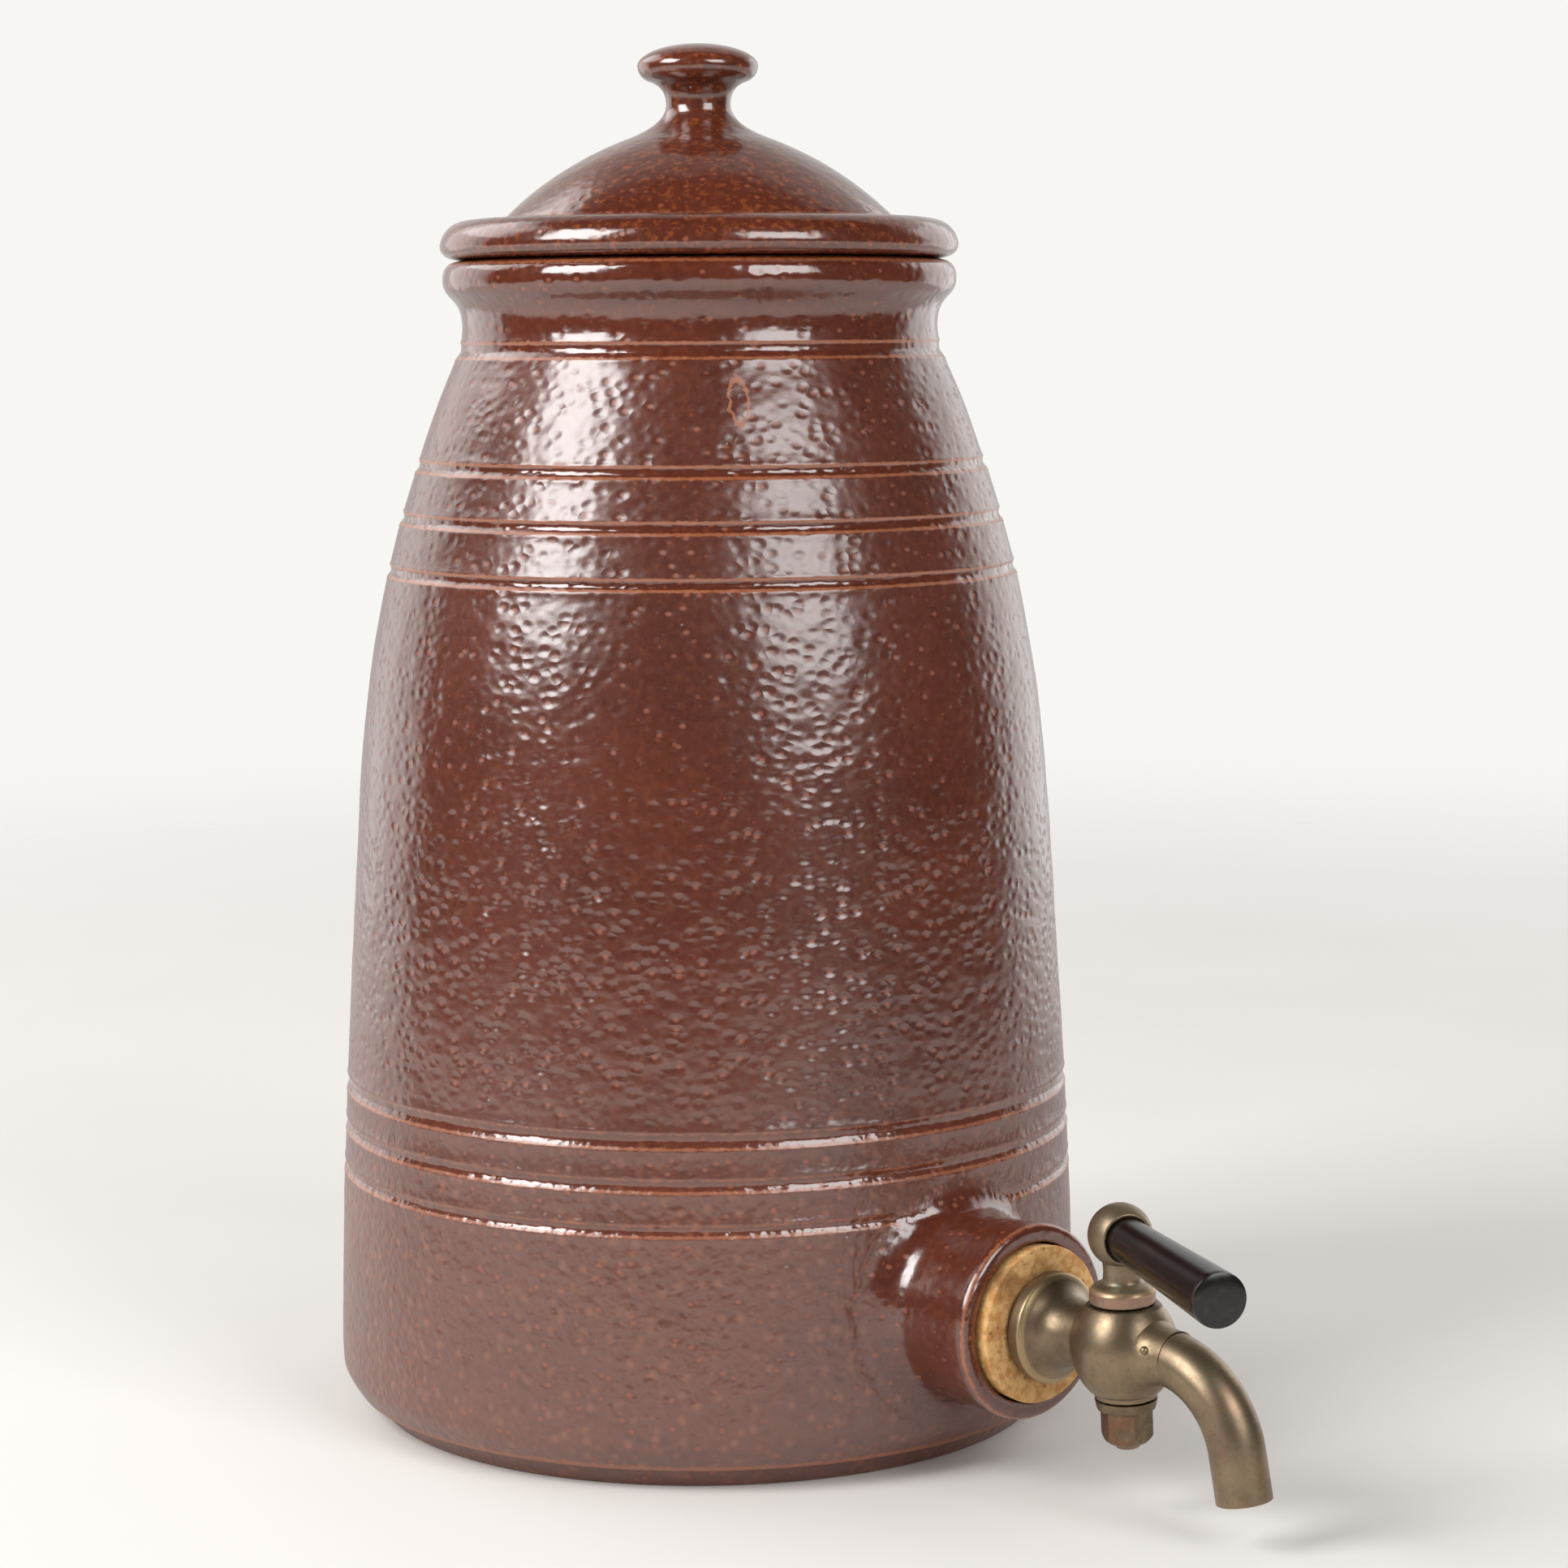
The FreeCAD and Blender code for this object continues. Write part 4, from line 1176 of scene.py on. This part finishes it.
def cork_finish():
    material, tree, skin, place = new_material("sanded_cork")
    grains = noise(tree, place, 420, 3.0, 0.65)
    specks = spots(tree, place, 520, 0.26, 0.28)
    pores = spots(tree, place, 380, 0.24, 0.35, 0.2)
    away = measure(tree, "DISTANCE", place, SMUDGE_PLACE)
    ragged = total(tree, away, swing(tree, noise(tree, place, 300, 3.0), 0.006))
    color = coated(
        tree, blend_colors(tree, spread(tree, grains, 0.35, 0.65), rgb(184, 132, 78), rgb(214, 172, 116)),
        (specks, 0.65, rgb(122, 80, 42)),
        (spread(tree, ragged, 0.001, 0.006, 1.0, 0.0), 0.6, rgb(96, 62, 34)))
    height = total(tree, swing(tree, grains, 0.12), scaled(tree, specks, -0.10), scaled(tree, pores, -0.18))
    surface(tree, skin, color, 0.85, height)
    give(tree, skin, Specular_IOR_Level=0.25)
    return material


dress(cork, cork_finish())

# %% [markdown]
# ## Old brass
# Unpolished brass turns a dull olive brown, with faint pink and green tints where it has been wet or
# handled, and it keeps the fine grain of the casting sand. Some edges are painted brighter.

# %% Old brass
def make_old_brass():
    tree, given, result = effect("old_brass", {
        "Place": (0.0, 0.0, 0.0), "Bright": 0.0, "Dirt": 0.0, "Coarse": 1.0,
    }, ("Color", "Roughness", "Height"))
    place = given["Place"]
    drift = spread(tree, noise(tree, place, 85, 4.0, 0.6), 0.35, 0.68)
    tint = spread(tree, noise(tree, flatter(tree, place, 0.6), 130, 3.0, 0.55, 0.6), 0.55, 0.75)
    wet = spread(tree, noise(tree, place, 60, 3.0, 0.5, 0.4), 0.60, 0.78)
    fine = noise(tree, place, 900, 4.0, 0.65)
    waves = noise(tree, place, 330, 2.0)
    crumbs = spread(tree, noise(tree, place, 420, 3.0, 0.7), 0.30, 0.55, 0.4, 1.0)
    # Real dirt on the washer and the nut. On the tap's body it is painted shade, behind the flange where it
    # meets the cork and under the plug's collar.
    dirt_and_shade = scaled(tree, given["Dirt"], crumbs)
    color = coated(
        tree, blend_colors(tree, drift, rgb(118, 103, 84), rgb(146, 127, 102)),
        (tint, 0.40, rgb(150, 112, 98)),
        (wet, 0.35, rgb(116, 122, 100)),
        (spread(tree, fine, 0.50, 0.75), 0.35, rgb(84, 70, 50)),
        (given["Bright"], 0.5, rgb(196, 170, 124)),
        (dirt_and_shade, 1.0, rgb(52, 40, 28)))
    roughness = total(tree, 0.40, swing(tree, fine, 0.16), swing(tree, drift, -0.08),
                      scaled(tree, dirt_and_shade, 0.25))
    sand = total(tree, swing(tree, waves, 0.05), swing(tree, fine, 0.022))
    give(tree, result, Color=color, Roughness=roughness, Height=scaled(tree, sand, given["Coarse"]))
    return tree


old_brass = make_old_brass()


def band(tree, place, axis, middle, half, soft):
    """1 within half of a middle along an axis, falling to 0 over a soft edge. Millimetres."""
    off = math_of(tree, "SUBTRACT", axis_of(tree, place, axis), middle * MM)
    return spread(tree, math_of(tree, "ABSOLUTE", off), half * MM, (half + soft) * MM, 1.0, 0.0)


def brass_finish(name, stain=None, metal=0.88, **values):
    """A material of old brass. A stain is a function that changes its colour."""
    material, tree, skin, place = new_material(name)
    values = {key: value(tree, place) if callable(value) else value for key, value in values.items()}
    brass = use(tree, old_brass, Place=place, **values)
    color = stain(tree, place, brass["Color"]) if stain else brass["Color"]
    surface(tree, skin, color, brass["Roughness"], brass["Height"])
    give(tree, skin, Metallic=metal)
    return material


# %% Brass of each piece
def brighter_flange_edge(tree, place):
    """The front edge of the tap's flange is painted brighter."""
    return band(tree, place, "Y", -111.6, 0.4, 0.3)


def flange_painted_shade(tree, place):
    """Painted shade where the flange meets the cork, and under the plug's collar."""
    behind = band(tree, place, "Y", -107.8, 0.4, 0.5)
    by_plug = band(tree, place, "Y", -PLUG_AXIS, 8.5, 1.0)
    under_collar = math_of(tree, "MULTIPLY", by_plug, band(tree, place, "Z", 45.0, 0.2, 0.4))
    return math_of(tree, "MAXIMUM", behind, scaled(tree, under_collar, 0.8))


# The top edge of the plug's collar is painted brighter.
def brighter_collar_top(tree, place):
    return band(tree, place, "Z", 48.0, 0.3, 0.3)


def plug_stain(tree, place, color):
    """The collar has a pinkish bloom, and a pale green deposit sits at the foot of the neck."""
    deposit = spread(tree, noise(tree, place, 380, 2.0), 0.50, 0.62)
    return coated(
        tree, color, (band(tree, place, "Z", 46.7, 1.1, 0.5), 0.35, rgb(168, 124, 116)),
        (scaled(tree, band(tree, place, "Z", 49.3, 0.5, 0.6), deposit), 0.45, rgb(150, 160, 132)))


def nut_stain(tree, place, color):
    """Copper has come to the surface on one side of the nut."""
    side = spread(tree, axis_of(tree, place, "X"), -0.0050, 0.0005, 1.0, 0.0)
    ragged = spread(tree, noise(tree, place, 260, 3.0), 0.38, 0.60)
    return coated(tree, color, (scaled(tree, side, ragged), 0.55, rgb(150, 92, 70)))


# The tap's body gets painted shade behind its flange and under the plug's collar.
dress(tap, brass_finish("cast_brass", Bright=brighter_flange_edge, Dirt=flange_painted_shade, Coarse=1.0))
dress(spout, brass_finish("tube_brass", Coarse=0.45))
dress(braze, brass_finish("braze_metal", Bright=0.15, Coarse=2.2))
dress(plug, brass_finish("turned_brass", stain=plug_stain, metal=0.72, Bright=brighter_collar_top, Coarse=0.5))
dress(washer, brass_finish("washer_brass", Dirt=0.35, Coarse=0.7))
dress(nut, brass_finish("nut_brass", stain=nut_stain, Dirt=0.35, Coarse=0.9))

# %% [markdown]
# ## Hard rubber and the pin
# The grip is black hard rubber with faint brown streaks along its length and a soft polish from the hand.
# The steel pin in it can hardly be seen, but it is bright drawn steel with fine lines along it.

# %% Hard rubber and steel
def along_grip(tree, place, stretch):
    """Coordinates turned along the grip, in which a pattern is stretched along it."""
    node = put(tree, "Mapping", {"vector_type": "TEXTURE"}, Vector=place,
               Rotation=(0, 0, -math.radians(HANDLE_TURN)), Scale=(1, stretch, 1))
    return node.outputs[0]


def ebonite_finish():
    material, tree, skin, place = new_material("hard_rubber")
    streaks = noise(tree, along_grip(tree, place, 14), 420, 3.0, 0.6)
    color = blend_colors(tree, spread(tree, streaks, 0.52, 0.75), rgb(17, 14, 13), rgb(46, 33, 26))
    dust = noise(tree, place, 700, 3.0)
    height = total(tree, swing(tree, streaks, 0.012), swing(tree, noise(tree, place, 160, 2.0), 0.05))
    surface(tree, skin, color, total(tree, 0.24, swing(tree, dust, 0.16)), height)
    return material


def steel_finish():
    material, tree, skin, place = new_material("drawn_steel")
    lines = noise(tree, along_grip(tree, place, 30), 900, 2.0)
    color = blend_colors(tree, lines, rgb(150, 148, 144), rgb(186, 184, 180))
    surface(tree, skin, color, total(tree, 0.3, swing(tree, lines, 0.12)), swing(tree, lines, 0.01))
    give(tree, skin, Metallic=1.0)
    return material


dress(grip, ebonite_finish())
dress(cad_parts["handle_pin"], steel_finish())

# %% [markdown]
# ## Who carries what
# The pot carries the cork, the tap's body and the spout. The lid lifts off by itself, and the plug turns
# with its grip, washer and nut.

# %% Ride and replace
SMOOTH_BELOW = math.radians(40)
PIECES = (
    (pot, "pot", "pot_body", "stoneware"),
    (lid, "lid", "pot_lid", "lid_stoneware"),
    (cork, "pot", "cork_bung", "cork"),
    (tap, "pot", "tap_body", "tap_brass"),
    (spout, "pot", "tap_spout", "spout_brass"),
    (braze, "pot", "spout_braze", "braze_metal"),
    (plug, "plug", "tap_plug", "plug_brass"),
    (washer, "plug", "plug_washer", "washer_brass"),
    (nut, "plug", "plug_nut", "nut_brass"),
    (grip, "plug", "handle_grip", "ebonite"),
)


def stand_off(piece, node):
    """Largest distance between the sides of a piece's box and those of its measured node's."""
    corners = list(zip(*piece.bound_box))
    low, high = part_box(node)
    return max(max(abs(min(corners[k]) - low[k]), abs(max(corners[k]) - high[k])) for k in range(3))


for piece, body, node, finish in PIECES:
    only(piece)
    bpy.ops.object.shade_smooth_by_angle(angle=SMOOTH_BELOW)
    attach(piece, body)
    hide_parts(node)
    off = round(stand_off(piece, node) / MM, 2)
    print(piece.name, "stands off its measured node by at most", off, "mm")
